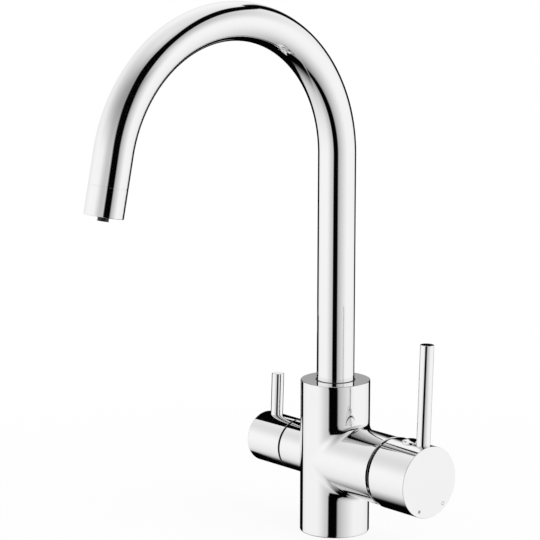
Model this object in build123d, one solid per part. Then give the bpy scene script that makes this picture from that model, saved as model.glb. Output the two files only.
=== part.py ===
from build123d import *
from math import asin, cos, degrees, hypot, radians, sin, sqrt
import os

# Three way filtered water tap: hot, cold and filtered water through one swan-neck spout.
# Millimetres, +Z up. The origin is the centre of the foot, on the deck. The mixer handle lies
# along +X, the filter handle along -X, and the spout reaches over the sink along -Y.

# ---------------------------------------------------------------- driving dimensions

# Fits and gaps
RUNNING_FIT = 0.08        # radial play where one piece turns in another
SEATED_FIT = 0.04         # play round a piece that is fixed in its seat
FACE_PLAY = 0.03          # axial play between two faces that slide on each other
SLIDE_PLAY = 0.12         # side play of the guide rails
LOOSE_FIT = 0.35          # play where one piece tilts inside another

# Modelling allowances, which leave no mark on the finished pieces
OVERCUT = 0.5             # how far a cutter runs past the face that it cuts
JOINED = 0.5              # how far a rib or hub runs into the wall that it is one with
SAME_PLACE = 0.01         # two points closer than this are one point

# Column
BODY_RADIUS = 25.0
BODY_HEIGHT = 111.3
BODY_TOP_EDGE = 0.5
BODY_FOOT_EDGE = 0.9
CROSS_HEIGHT = 55.0       # height of the axis that both handles share
LEVER_LEAN = 2.0          # degrees that both lever pins lean back when closed

# Underside
PORT_RADIUS = 4.6         # M10 x 1 hose threads
PORT_DEPTH = 12.0
INLET_X = 7.0             # hot and cold inlets, in front of and behind the middle
INLET_Y = 8.0
FILTER_INLET_X = -7.0
STUD_RADIUS = 3.4         # M8 fixing studs
STUD_DEPTH = 15.0
STUD_X = -3.0
STUD_Y = 14.7
BASE_SEAL_RADIUS = 21.5
BASE_SEAL_WIDTH = 2.4
BASE_SEAL_DEPTH = 2.0

# Waterways inside the column
INLET_BORE = 3.5
FILTER_INLET_BORE = 3.0
FILTER_BORE = 2.5
FILTER_CROSSING = 4.0     # depth of the filter's cross bore under the plenum's floor
MIXED_BORE = 3.0
MIXED_X = 7.5

# Spout socket in the top of the column
SOCKET_DEPTH = 27.3
SOCKET_MARGIN = 0.18      # socket radius over the tube's radius
PLENUM_RADIUS = 10.0
PLENUM_DEPTH = 6.0
POST_RADIUS = 6.5
POST_HEIGHT = 19.0
GLAND_RADIUS = 5.7        # recess in the post's mouth for the inner tube's O-ring
GLAND_DEPTH = 2.0
THRUST_WASHER = 1.0
GLIDE_RING_WIDTH = 0.75
GLIDE_RING_DEPTH = 2.0
GLIDE_RING_PROUD = 0.2
SWIVEL_RANGE = 90.0       # degrees each way
STOP_SCREW_RADIUS = 2.5
STOP_TIP_RADIUS = 1.6
STOP_TIP_REACH = 1.7      # how far the tip stands into the foot's groove
STOP_SCREW_SUNK = 1.0

# Spout
SPOUT_RADIUS = 13.5
SPOUT_WALL = 1.3
RISER_TOP = 274.0         # where the straight riser meets the arch
ARCH_RADIUS = 100.6
ARCH_ANGLE = 168.2        # degrees that the arch turns
OUTLET_RUN = 42.5         # straight end after the arch
TUBE_SEAT_DEPTH = 3.3     # how far the tube stands below the top of the column
SPIGOT_LENGTH = 12.0
FOOT_BORE = 9.5
GROOVE_WIDTH = 3.0
GROOVE_DEPTH = 2.1
INNER_TUBE_RADIUS = 4.0
INNER_TUBE_WALL = 1.0
INNER_TUBE_ENTRY = 9.0    # how far the inner tube stands in the post

# Outlet
END_RING_LENGTH = 20.0
END_RING_SPIGOT = 7.0
END_RING_EDGE = 0.5
SEAM_CHAMFER = 0.2
AERATOR_WALL = 1.4
AERATOR_SUNK = 0.8
AERATOR_FLOOR = 1.7
AERATOR_HEIGHT = 9.2
AERATOR_SLOTS = 12
AERATOR_SLOT_WIDTH = 1.6
SCREEN_THICKNESS = 0.6
SCREEN_LIFT = 3.0
SCREEN_HOLES = 24
SCREEN_HOLE_RADIUS = 0.55
AERATOR_SEAL = 2.0
NOZZLE_RADIUS = 4.0
NOZZLE_BORE = 2.2
NOZZLE_PROUD = 3.0
NOZZLE_RIBS = 3
NOZZLE_RIB_DEPTH = 0.45
NOZZLE_FLANGE = 1.0
ADAPTER_WALL = 1.2
ADAPTER_LENGTH = 9.0
ADAPTER_FLOOR = 2.5
ADAPTER_ARMS = 3
ADAPTER_ARM_WIDTH = 2.0

# Mixer branch and cartridge, measured outwards from the column's axis
BRANCH_RADIUS = 24.8
BRANCH_FILLET = 4.0
BRANCH_RIM_EDGE = 0.5
CARTRIDGE_SEAT = 13.0
CARTRIDGE_RADIUS = 17.5
CARTRIDGE_WALL = 2.3
CARTRIDGE_BASE = 5.0
CARTRIDGE_LIP = 2.0
CARTRIDGE_MOUTH = 9.5
FIXED_DISC = 3.8
FIXED_DISC_RADIUS = 14.5
MOVING_DISC = 3.6
MOVING_DISC_RADIUS = 11.0
INLET_PORT_RADIUS = 2.6
INLET_PORT_Y = 7.0
INLET_PORT_Z = 4.5
OUTLET_PORT_RADIUS = 3.0
OUTLET_PORT_Z = -4.0
PORT_SEAL_WIDTH = 1.1
PORT_SEAL_DEPTH = 1.2
CHAMBER_SPREAD = 6.0      # the moving disc's mixing chamber
CHAMBER_RADIUS = 4.8
CHAMBER_Z = -3.5
CHAMBER_DEPTH = 2.0
DRIVER = 6.2
DRIVER_RADIUS = 10.6
RAIL_Y = 7.2
RAIL_WIDTH = 2.4
RAIL_DEPTH = 2.8
RAIL_HALF_HEIGHT = 5.0
CARRIER_GAP = 0.4
CARRIER_LENGTH = 13.0
PIVOT_RISE = 6.87         # from the carrier's inner end to the tilt pin
TILT_PIN_RADIUS = 1.5
TILT_PIN_SUNK = 0.5       # how far the pin's ends lie under the carrier's surface
TILT_RANGE = 25.0         # degrees
STEM_RADIUS = 4.0
STEM_ARM = 9.0            # from the tilt pin to the ball that drives the disc
STEM_BALL = 3.0
STEM_NECK = 1.9
STEM_SHOULDER = 1.05      # from the carrier's inner end to where the stem thickens
STEM_SQUARE = 6.8
STEM_END_GAP = 0.5        # from the end of the square to the lever pin
NUT_LENGTH = 8.0
NUT_THREAD = 1.9          # how far the nut stands out past the cartridge's radius
NUT_MOUTH = 13.2
NUT_SLOTS = 4
NUT_SLOT_WIDTH = 3.0
NUT_SLOT_DEPTH = 2.5
PIVOT_SETBACK = 20.0      # from the tilt pin to the end of the branch
DOME_RADIUS = 22.4
DOME_WALL = 1.6
DOME_SEAT = 2.5
DOME_CLEARANCE = 2.6

# Mixer handle
HANDLE_GAP = 3.6
CAP_RADIUS = 25.5
CAP_LENGTH = 34.5
CAP_WALL = 1.5
CAP_FACE = 2.5
CAP_EDGE = 0.4
HUB_RADIUS = 9.0
HUB_CLEARANCE = 0.6
RIB_WIDTH = 14.0
RIB_MARGIN = 0.75         # from the plug's rim to the end of the rib
LEVER_RADIUS = 4.88
LEVER_SETBACK = 7.36      # from the cap's face to the middle of the pin
LEVER_REACH = 96.4        # from the branch's axis to the tip of the pin
LEVER_ROOT = 10.0
LEVER_EDGE = 0.25
PLUG_RADIUS = 6.6
PLUG_SETBACK = 19.0
PLUG_SEAT = 24.2          # height of the plug's seat over the branch's axis
PLUG_PROUD = 2.2          # how far the plug's dome stands over the cap
SET_SCREW_RADIUS = 2.5
SET_SCREW_LENGTH = 12.0
SCREW_SOCKET = 1.25       # half the width over flats of the screws' hexagon sockets
SCREW_SOCKET_DEPTH = 2.5

# Filter branch and valve, measured outwards from the column's axis
FILTER_RADIUS = 18.5
FILTER_REACH = 39.9
FILTER_FILLET = 1.2
FILTER_SEAT = 13.0
VALVE_BORE = 10.0
VALVE_NOSE_RADIUS = 8.0
VALVE_NOSE_END = 24.0
VALVE_RECESS_DEPTH = 5.9  # from the branch's end to the seat of the valve's hexagon
VALVE_HEX = 9.5           # half the width over flats
VALVE_HEX_LENGTH = 4.5
VALVE_RECESS_RADIUS = 14.0
VALVE_NECK_RADIUS = 6.4
VALVE_NECK_LENGTH = 6.0
VALVE_CHAMBER = 6.0
VALVE_NOSE_GAP = 0.4      # bare length of seat seal between the nose and the seat
SEAT_SEAL = 2.6
SEAT_SEAL_BORE = 3.6
FLANGE_RING = 0.9
VALVE_DISC = 2.5
VALVE_PORT_RADIUS = 1.6
VALVE_PORT_OFFSET = 3.1
VALVE_WINDOW = 7.0
SPINDLE_RADIUS = 4.0
SPINDLE_FLANGE = 2.8
SPINDLE_SQUARE = 5.6
SPINDLE_GROOVE = 1.0
SPINDLE_RING_SPACING = 5.0
CLIP_WIDTH = 0.8
CLIP_DEPTH = 0.7
CLIP_RADIUS = 5.6

# Filter handle
KNOB_GAP = 1.2
KNOB_LENGTH = 34.0
KNOB_WALL = 1.7
KNOB_FACE = 2.5
KNOB_EDGE = 0.5
KNOB_HUB_RADIUS = 8.0
KNOB_HUB_GAP = 0.6
FILTER_LEVER_RADIUS = 4.5
FILTER_LEVER_SETBACK = 10.8
FILTER_LEVER_REACH = 49.0
FILTER_LEVER_ROOT = 6.5
FILTER_BOSS_WALL = 1.8
FILTER_SCREW_RADIUS = 2.0
FILTER_SCREW_SETBACK = 22.6
FILTER_SCREW_LENGTH = 4.4

# ---------------------------------------------------------------- places worked out from them

TOP = BODY_HEIGHT
SOCKET_FLOOR = TOP - SOCKET_DEPTH
SOCKET_RADIUS = SPOUT_RADIUS + SOCKET_MARGIN
FOOT_RADIUS = SOCKET_RADIUS - RUNNING_FIT
PLENUM_FLOOR = SOCKET_FLOOR - PLENUM_DEPTH
POST_TOP = PLENUM_FLOOR + POST_HEIGHT
POST_BORE = INNER_TUBE_RADIUS + RUNNING_FIT
INNER_TUBE_START = POST_TOP - INNER_TUBE_ENTRY
FOOT_START = SOCKET_FLOOR + THRUST_WASHER
TUBE_START = TOP - TUBE_SEAT_DEPTH
STOP_HEIGHT = (FOOT_START + TUBE_START) / 2
GLIDE_RING_INNER = SPOUT_RADIUS + RUNNING_FIT
GLIDE_RING_OUTER = GLIDE_RING_INNER + GLIDE_RING_WIDTH

TUBE_BORE = SPOUT_RADIUS - SPOUT_WALL
SPIGOT_RADIUS = TUBE_BORE - SEATED_FIT

# Outlet pieces, counted upwards from the tip
RING_BORE = SPOUT_RADIUS - AERATOR_WALL
SHOULDER_BORE = RING_BORE - ADAPTER_WALL
CUP_RADIUS = RING_BORE - SEATED_FIT
CUP_BORE = CUP_RADIUS - ADAPTER_WALL
CUP_FLOOR = AERATOR_SUNK + AERATOR_FLOOR
CUP_END = AERATOR_SUNK + AERATOR_HEIGHT
SEAL_END = CUP_END + AERATOR_SEAL
ADAPTER_START = CUP_END
ADAPTER_END = ADAPTER_START + ADAPTER_LENGTH
ADAPTER_RADIUS = INNER_TUBE_RADIUS + ADAPTER_WALL
SCREEN_START = CUP_FLOOR + SCREEN_LIFT
SPIGOT_END = END_RING_LENGTH + END_RING_SPIGOT

HOUSING_START = CARTRIDGE_SEAT + CARTRIDGE_BASE
FIXED_DISC_END = HOUSING_START + FIXED_DISC
MOVING_DISC_START = FIXED_DISC_END + FACE_PLAY
MOVING_DISC_END = MOVING_DISC_START + MOVING_DISC
DRIVER_END = MOVING_DISC_END + DRIVER
CARRIER_START = DRIVER_END + CARRIER_GAP
CARRIER_END = CARRIER_START + CARRIER_LENGTH
PIVOT = CARRIER_START + PIVOT_RISE
HOUSING_BORE = CARTRIDGE_RADIUS - CARTRIDGE_WALL
CARRIER_RADIUS = HOUSING_BORE - RUNNING_FIT
HOUSING_END = CARRIER_END + FACE_PLAY + CARTRIDGE_LIP
CARTRIDGE_BORE = CARTRIDGE_RADIUS + SEATED_FIT
NUT_RADIUS = CARTRIDGE_RADIUS + NUT_THREAD
NUT_END = HOUSING_END + NUT_LENGTH
BRANCH_END = PIVOT + PIVOT_SETBACK
DOME_START = BRANCH_END - DOME_SEAT

CAP_START = BRANCH_END + HANDLE_GAP
CAP_END = CAP_START + CAP_LENGTH
CAP_BORE = CAP_RADIUS - CAP_WALL
CAP_INSIDE = CAP_END - CAP_FACE
DOME_SPHERE = hypot(CAP_START - PIVOT, CAP_BORE) - DOME_CLEARANCE
DOME_MOUTH = radians(TILT_RANGE) + asin((STEM_RADIUS + LOOSE_FIT) / (DOME_SPHERE - DOME_WALL))
HUB_START = PIVOT + DOME_SPHERE + HUB_CLEARANCE
LEVER_X = CAP_END - LEVER_SETBACK
PLUG_X = CAP_END - PLUG_SETBACK
STEM_END = LEVER_X - LEVER_RADIUS - STEM_END_GAP
LEVER_BORE = LEVER_RADIUS + SEATED_FIT

VALVE_START = FILTER_SEAT + VALVE_NOSE_GAP
VALVE_THREAD_END = FILTER_REACH - VALVE_RECESS_DEPTH
VALVE_OUTLET_X = VALVE_NOSE_END - VALVE_CHAMBER
VALVE_DISC_START = FILTER_SEAT + SEAT_SEAL
TURNING_DISC_START = VALVE_DISC_START + VALVE_DISC + FACE_PLAY
TURNING_DISC_END = TURNING_DISC_START + VALVE_DISC
SPINDLE_SHOULDER = TURNING_DISC_END + SPINDLE_FLANGE
VALVE_BORE_END = SPINDLE_SHOULDER + FACE_PLAY
HEX_END = VALVE_THREAD_END + VALVE_HEX_LENGTH
NECK_END = HEX_END + VALVE_NECK_LENGTH
CLIP_START = NECK_END + SEATED_FIT
CLIP_END = CLIP_START + CLIP_WIDTH
KNOB_START = FILTER_REACH + KNOB_GAP
KNOB_END = KNOB_START + KNOB_LENGTH
KNOB_BORE = FILTER_RADIUS - KNOB_WALL
KNOB_INSIDE = KNOB_END - KNOB_FACE
KNOB_HUB_START = CLIP_END + KNOB_HUB_GAP
FILTER_LEVER_X = KNOB_END - FILTER_LEVER_SETBACK
SPINDLE_END = FILTER_LEVER_X - FILTER_LEVER_RADIUS - LOOSE_FIT
FILTER_SCREW_X = KNOB_END - FILTER_SCREW_SETBACK


# ---------------------------------------------------------------- shapes used by many pieces

def z_rod(radius, low, high, x=0.0, y=0.0):
    """A rod standing along Z."""
    rod = Cylinder(radius, high - low, align=(Align.CENTER, Align.CENTER, Align.MIN))
    return Pos(x, y, low) * rod


def x_rod(radius, start, end, y=0.0, z=0.0):
    """A rod along +X on the mixer side, placed from the handles' axis."""
    rod = Cylinder(radius, end - start, align=(Align.CENTER, Align.CENTER, Align.MIN))
    return Pos(start, y, CROSS_HEIGHT + z) * Rot(0, 90, 0) * rod


def filter_rod(radius, start, end, y=0.0, z=0.0):
    """A rod along -X on the filter side, placed from the handles' axis."""
    rod = Cylinder(radius, end - start, align=(Align.CENTER, Align.CENTER, Align.MIN))
    return Pos(-start, y, CROSS_HEIGHT + z) * Rot(0, -90, 0) * rod


def y_rod(radius, start, end, x=0.0, height=0.0):
    """A rod along +Y."""
    rod = Cylinder(radius, end - start, align=(Align.CENTER, Align.CENTER, Align.MIN))
    return Pos(x, start, height) * Rot(-90, 0, 0) * rod


def x_box(start, end, width, low, high, y=0.0):
    """A box with its X from start to end and its Z counted from the handles' axis."""
    box = Box(end - start, width, high - low, align=(Align.MIN, Align.CENTER, Align.MIN))
    return Pos(start, y, CROSS_HEIGHT + low) * box


def ring(radius, cord, along, at):
    """An O-ring of round cord about an axis along X or Z."""
    torus = Torus(radius, cord)
    if along == "x":
        return Pos(at, 0, CROSS_HEIGHT) * Rot(0, 90, 0) * torus
    return Pos(0, 0, at) * torus


def about_handles(angle, piece):
    """A piece turned about the handles' axis, by degrees."""
    return Pos(0, 0, CROSS_HEIGHT) * Rot(angle, 0, 0) * Pos(0, 0, -CROSS_HEIGHT) * piece


def leaned(piece):
    """A handle's piece, built upright and turned to where it rests."""
    return about_handles(-LEVER_LEAN, piece)


def hexagon_bar(half_flats, length):
    """A bar of hexagon section along Z from the origin."""
    section = RegularPolygon(half_flats, 6, major_radius=False)
    return extrude(section, length)


# ---------------------------------------------------------------- the spout's centre line

def arch_point(angle):
    """A point of the arch, by the angle turned from the riser."""
    turn = radians(angle)
    return Vector(0, ARCH_RADIUS * (cos(turn) - 1), RISER_TOP + ARCH_RADIUS * sin(turn))


OUTLET_DIRECTION = Vector(0, -sin(radians(ARCH_ANGLE)), cos(radians(ARCH_ANGLE)))
TIP = arch_point(ARCH_ANGLE) + OUTLET_DIRECTION * OUTLET_RUN
TIP_PLANE = Plane(origin=TIP, x_dir=(1, 0, 0), z_dir=OUTLET_DIRECTION * -1)


def spout_path(start_height, stop_short):
    """Riser, arch and outlet run, from a height to a distance short of the tip."""
    arch_end = arch_point(ARCH_ANGLE)
    last = TIP - OUTLET_DIRECTION * stop_short
    riser = Line((0, 0, start_height), arch_point(0))
    arch = ThreePointArc(arch_point(0), arch_point(ARCH_ANGLE / 2), arch_end)
    outlet = Line(arch_end, last)
    return Wire([riser.edge(), arch.edge(), outlet.edge()])


def pipe(radius, wall, start_height, stop_short):
    """A tube of one wall along the spout's centre line."""
    section = Plane(origin=(0, 0, start_height)) * (Circle(radius) - Circle(radius - wall))
    return sweep(section, spout_path(start_height, stop_short))


# ---------------------------------------------------------------- column

def seam_edges(body, side):
    """The edges where a branch meets the column, on the side of +X (1) or -X (-1)."""
    plain = (GeomType.CIRCLE, GeomType.LINE)
    curved = [edge for edge in body.edges() if edge.geom_type not in plain]
    return [edge for edge in curved if side * edge.center().X > 0]


def outer_body():
    """Column with its two branches, blended where they meet."""
    column = z_rod(BODY_RADIUS, 0, TOP)
    column = fillet(column.edges().sort_by(Axis.Z)[-1], BODY_TOP_EDGE)
    column = fillet(column.edges().sort_by(Axis.Z)[0], BODY_FOOT_EDGE)
    body = column + x_rod(BRANCH_RADIUS, 0, BRANCH_END)
    body = fillet(seam_edges(body, 1), BRANCH_FILLET)
    branch_rim = body.edges().filter_by(GeomType.CIRCLE).sort_by(Axis.X)[-1]
    body = chamfer(branch_rim, BRANCH_RIM_EDGE)
    body = body + filter_rod(FILTER_RADIUS, 0, FILTER_REACH)
    body = fillet(seam_edges(body, -1), FILTER_FILLET)
    stub_rim = body.edges().filter_by(GeomType.CIRCLE).sort_by(Axis.X)[0]
    return chamfer(stub_rim, BRANCH_RIM_EDGE)


def waterways():
    """Everything that water runs through inside the column, as a list of cutters."""
    inlet_height = CROSS_HEIGHT + INLET_PORT_Z
    seat = CARTRIDGE_SEAT + OVERCUT
    cuts = []
    for side in (-1, 1):
        cuts.append(z_rod(PORT_RADIUS, -OVERCUT, PORT_DEPTH, INLET_X, side * INLET_Y))
        cuts.append(z_rod(INLET_BORE, 0, inlet_height, INLET_X, side * INLET_Y))
        cuts.append(x_rod(INLET_PORT_RADIUS, INLET_X, seat, side * INLET_PORT_Y, INLET_PORT_Z))
    cuts.append(x_rod(OUTLET_PORT_RADIUS, MIXED_X, seat, 0, OUTLET_PORT_Z))
    cuts.append(z_rod(MIXED_BORE, CROSS_HEIGHT + OUTLET_PORT_Z, PLENUM_FLOOR, MIXED_X))
    cuts.append(z_rod(PORT_RADIUS, -OVERCUT, PORT_DEPTH, FILTER_INLET_X))
    cuts.append(z_rod(FILTER_INLET_BORE, 0, CROSS_HEIGHT, FILTER_INLET_X))
    cuts.append(filter_rod(FILTER_INLET_BORE, -FILTER_INLET_X, FILTER_SEAT + OVERCUT))
    crossing = PLENUM_FLOOR - FILTER_CROSSING
    cuts.append(z_rod(FILTER_BORE, CROSS_HEIGHT, crossing, -VALVE_OUTLET_X))
    cuts.append(filter_rod(FILTER_BORE, 0, VALVE_OUTLET_X, 0, crossing - CROSS_HEIGHT))
    cuts.append(z_rod(FILTER_BORE, crossing, POST_TOP))
    return cuts


def spout_socket():
    """Cutter for the spout's socket and the plenum under it, which leaves the post standing."""
    socket = z_rod(SOCKET_RADIUS, SOCKET_FLOOR, TOP + OVERCUT)
    socket = socket + z_rod(PLENUM_RADIUS, PLENUM_FLOOR, SOCKET_FLOOR)
    socket = socket + z_rod(GLIDE_RING_OUTER + SEATED_FIT, TOP - GLIDE_RING_DEPTH, TOP + OVERCUT)
    post = z_rod(POST_RADIUS, PLENUM_FLOOR, POST_TOP)
    post = post - z_rod(POST_BORE, INNER_TUBE_START, POST_TOP)
    post = post - z_rod(GLAND_RADIUS, POST_TOP - GLAND_DEPTH, POST_TOP)
    return socket - post


def body_casting():
    """The brass body: column, both branches, seats, socket, ports and waterways."""
    cuts = waterways()
    cuts.append(spout_socket())
    cuts.append(x_rod(CARTRIDGE_BORE, CARTRIDGE_SEAT, BRANCH_END))
    cuts.append(x_rod(NUT_RADIUS + SEATED_FIT, HOUSING_END, BRANCH_END))
    cuts.append(x_rod(DOME_RADIUS + SEATED_FIT, DOME_START, BRANCH_END + OVERCUT))
    cuts.append(filter_rod(VALVE_BORE, FILTER_SEAT, FILTER_REACH))
    cuts.append(filter_rod(VALVE_RECESS_RADIUS, VALVE_THREAD_END, FILTER_REACH + OVERCUT))
    for side in (-1, 1):
        cuts.append(z_rod(STUD_RADIUS, -OVERCUT, STUD_DEPTH, STUD_X, side * STUD_Y))
    screw_bore = STOP_SCREW_RADIUS + SEATED_FIT
    cuts.append(y_rod(screw_bore, SOCKET_RADIUS - OVERCUT, BODY_RADIUS + OVERCUT, 0, STOP_HEIGHT))
    groove = z_rod(BASE_SEAL_RADIUS + BASE_SEAL_WIDTH / 2, -OVERCUT, BASE_SEAL_DEPTH)
    cuts.append(groove - z_rod(BASE_SEAL_RADIUS - BASE_SEAL_WIDTH / 2, -OVERCUT, BASE_SEAL_DEPTH))
    body = outer_body()
    for cut in cuts:
        body = body - cut
    return body


def base_seal():
    """Rubber ring under the foot."""
    outer = BASE_SEAL_RADIUS + BASE_SEAL_WIDTH / 2 - SEATED_FIT
    inner = BASE_SEAL_RADIUS - BASE_SEAL_WIDTH / 2 + SEATED_FIT
    return z_rod(outer, 0, BASE_SEAL_DEPTH) - z_rod(inner, 0, BASE_SEAL_DEPTH)


def spout_glide_ring():
    """Plastic ring that guides the spout at the top of the column."""
    top = TOP + GLIDE_RING_PROUD
    bottom = TOP - GLIDE_RING_DEPTH
    return z_rod(GLIDE_RING_OUTER, bottom, top) - z_rod(GLIDE_RING_INNER, bottom, top)


def spout_thrust_washer():
    """Plastic washer that carries the spout's weight."""
    outer = z_rod(SOCKET_RADIUS - SEATED_FIT, SOCKET_FLOOR, FOOT_START)
    return outer - z_rod(PLENUM_RADIUS + SEATED_FIT, SOCKET_FLOOR, FOOT_START)


def inner_tube_oring():
    """O-ring in the post's mouth, round the filtered water's tube."""
    cord = (GLAND_RADIUS - INNER_TUBE_RADIUS) / 2 - SEATED_FIT
    return ring(INNER_TUBE_RADIUS + SEATED_FIT + cord, cord, "z", POST_TOP - GLAND_DEPTH + cord)


def spout_retaining_screw():
    """Grub screw through the back of the column, whose tip stops the spout's swivel."""
    tip = FOOT_RADIUS - STOP_TIP_REACH
    neck = SOCKET_RADIUS + SEATED_FIT
    outer = BODY_RADIUS - STOP_SCREW_SUNK
    shank = y_rod(STOP_SCREW_RADIUS, neck, outer, 0, STOP_HEIGHT)
    point = y_rod(STOP_TIP_RADIUS, tip, neck, 0, STOP_HEIGHT)
    socket = Rot(-90, 0, 0) * hexagon_bar(SCREW_SOCKET, SCREW_SOCKET_DEPTH)
    return shank + point - Pos(0, outer - SCREW_SOCKET_DEPTH, STOP_HEIGHT) * socket


# ---------------------------------------------------------------- spout

def spout_tube():
    """The swan neck, from the socket to the end ring's seam."""
    tube = pipe(SPOUT_RADIUS, SPOUT_WALL, TUBE_START, END_RING_LENGTH)
    end = TIP_PLANE.origin + TIP_PLANE.z_dir * END_RING_LENGTH
    circles = tube.edges().filter_by(GeomType.CIRCLE)
    rims = [edge for edge in circles if (edge.arc_center - end).length < SAME_PLACE]
    return chamfer(max(rims, key=lambda edge: edge.radius), SEAM_CHAMFER)


def foot_groove_heights():
    """Middle heights of the foot's two O-ring grooves."""
    return (FOOT_START + GROOVE_WIDTH, TUBE_START - GROOVE_WIDTH)


def spout_foot():
    """Brass bush under the tube: bearing, O-ring grooves and the groove that limits the swivel."""
    spigot_end = TUBE_START + SPIGOT_LENGTH
    foot = z_rod(FOOT_RADIUS, FOOT_START, TUBE_START) + z_rod(SPIGOT_RADIUS, TUBE_START, spigot_end)
    foot = foot - z_rod(FOOT_BORE, FOOT_START, spigot_end)
    for height in foot_groove_heights():
        groove = z_rod(FOOT_RADIUS + OVERCUT, height - GROOVE_WIDTH / 2, height + GROOVE_WIDTH / 2)
        foot = foot - (groove - z_rod(FOOT_RADIUS - GROOVE_DEPTH, 0, TOP))
    half_width = STOP_TIP_RADIUS + RUNNING_FIT
    reach = SWIVEL_RANGE + degrees(asin(half_width / (FOOT_RADIUS - STOP_TIP_REACH)))
    inner = FOOT_RADIUS - GROOVE_DEPTH
    section = Rectangle(GROOVE_DEPTH + OVERCUT, 2 * half_width, align=(Align.MIN, Align.CENTER))
    section = Plane(origin=(inner, 0, STOP_HEIGHT), x_dir=(1, 0, 0), z_dir=(0, -1, 0)) * section
    groove = revolve(section, Axis.Z, 2 * reach)
    return foot - Rot(0, 0, 90 - reach) * groove


def spout_orings():
    """The two O-rings in the foot's grooves."""
    cord = GROOVE_DEPTH / 2
    return [ring(FOOT_RADIUS - GROOVE_DEPTH + cord, cord, "z", h) for h in foot_groove_heights()]


def inner_water_tube():
    """Filtered water's own tube, down the middle of the spout."""
    stop = ADAPTER_START + ADAPTER_FLOOR + SEATED_FIT
    return pipe(INNER_TUBE_RADIUS, INNER_TUBE_WALL, INNER_TUBE_START, stop)


# Outlet pieces are built upwards from the tip and then carried to it.

def at_tip(piece):
    """Carries a piece built upwards from the origin to the spout's tip."""
    return TIP_PLANE.location * piece


def spout_end_ring():
    """Chromed ring at the tip that holds the aerator, with a spigot into the tube."""
    sleeve = z_rod(SPOUT_RADIUS, 0, END_RING_LENGTH)
    sleeve = fillet(sleeve.edges().filter_by(GeomType.CIRCLE).sort_by(Axis.Z)[0], END_RING_EDGE)
    sleeve = chamfer(sleeve.edges().filter_by(GeomType.CIRCLE).sort_by(Axis.Z)[-1], SEAM_CHAMFER)
    sleeve = sleeve + z_rod(SPIGOT_RADIUS, END_RING_LENGTH, SPIGOT_END)
    sleeve = sleeve - z_rod(RING_BORE, -OVERCUT, SEAL_END)
    return at_tip(sleeve - z_rod(SHOULDER_BORE, SEAL_END, SPIGOT_END + OVERCUT))


def aerator_cup():
    """Cup with a ring of slots for mixed water round a hole for the nozzle."""
    cup = z_rod(CUP_RADIUS, AERATOR_SUNK, CUP_END) - z_rod(CUP_BORE, CUP_FLOOR, CUP_END)
    cup = cup - z_rod(NOZZLE_RADIUS + SEATED_FIT, AERATOR_SUNK, CUP_END)
    slot_inner = NOZZLE_RADIUS + ADAPTER_WALL
    slot_length = CUP_BORE - slot_inner - ADAPTER_WALL / 2
    slot_height = AERATOR_FLOOR + 2 * OVERCUT
    slot = Box(slot_length, AERATOR_SLOT_WIDTH, slot_height, align=(Align.MIN, Align.CENTER, Align.MIN))
    for index in range(AERATOR_SLOTS):
        turn = 360 * index / AERATOR_SLOTS
        cup = cup - Rot(0, 0, turn) * Pos(slot_inner, 0, AERATOR_SUNK - OVERCUT) * slot
    return at_tip(cup)


def aerator_screen():
    """Perforated disc that breaks up the mixed water."""
    top = SCREEN_START + SCREEN_THICKNESS
    screen = z_rod(CUP_BORE - SEATED_FIT, SCREEN_START, top)
    screen = screen - z_rod(NOZZLE_RADIUS + SEATED_FIT, SCREEN_START, top)
    middle = (CUP_BORE + NOZZLE_RADIUS) / 2
    for index in range(SCREEN_HOLES):
        side = 1 if index % 2 else -1
        row = middle + side * 2 * SCREEN_HOLE_RADIUS
        hole = z_rod(SCREEN_HOLE_RADIUS, SCREEN_START - OVERCUT, top + OVERCUT, row)
        screen = screen - Rot(0, 0, 360 * index / SCREEN_HOLES) * hole
    return at_tip(screen)


def aerator_seal():
    """Flat rubber ring between the cup and the end ring's shoulder."""
    return at_tip(z_rod(CUP_RADIUS, CUP_END, SEAL_END) - z_rod(CUP_BORE, CUP_END, SEAL_END))


def nozzle_adapter():
    """Brass spider that centres the inner tube in the end ring and feeds the nozzle."""
    spider = z_rod(ADAPTER_RADIUS, ADAPTER_START, ADAPTER_END)
    arm_height = ADAPTER_END - SEAL_END
    arm = Box(SHOULDER_BORE, ADAPTER_ARM_WIDTH, arm_height, align=(Align.MIN, Align.CENTER, Align.MIN))
    for index in range(ADAPTER_ARMS):
        spider = spider + Rot(0, 0, 360 * index / ADAPTER_ARMS) * Pos(0, 0, SEAL_END) * arm
    spider = spider & z_rod(SHOULDER_BORE - SEATED_FIT, ADAPTER_START, ADAPTER_END)
    spider = spider - z_rod(NOZZLE_BORE, ADAPTER_START, ADAPTER_END)
    socket = z_rod(INNER_TUBE_RADIUS + SEATED_FIT, ADAPTER_START + ADAPTER_FLOOR, ADAPTER_END)
    return at_tip(spider - socket)


def filtered_water_nozzle():
    """Black ribbed nozzle in the middle of the outlet."""
    nozzle = z_rod(NOZZLE_RADIUS, -NOZZLE_PROUD, ADAPTER_START)
    pitch = NOZZLE_PROUD / (NOZZLE_RIBS + 1)
    for index in range(NOZZLE_RIBS):
        low = -NOZZLE_PROUD + pitch * (index + 1 / 2)
        groove = z_rod(NOZZLE_RADIUS + OVERCUT, low, low + pitch / 2)
        nozzle = nozzle - (groove - z_rod(NOZZLE_RADIUS - NOZZLE_RIB_DEPTH, low, low + pitch / 2))
    nozzle = nozzle + z_rod(NOZZLE_RADIUS + NOZZLE_FLANGE, CUP_FLOOR, CUP_FLOOR + NOZZLE_FLANGE)
    return at_tip(nozzle - z_rod(NOZZLE_BORE, -NOZZLE_PROUD, ADAPTER_START))


# ---------------------------------------------------------------- mixer cartridge

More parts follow.
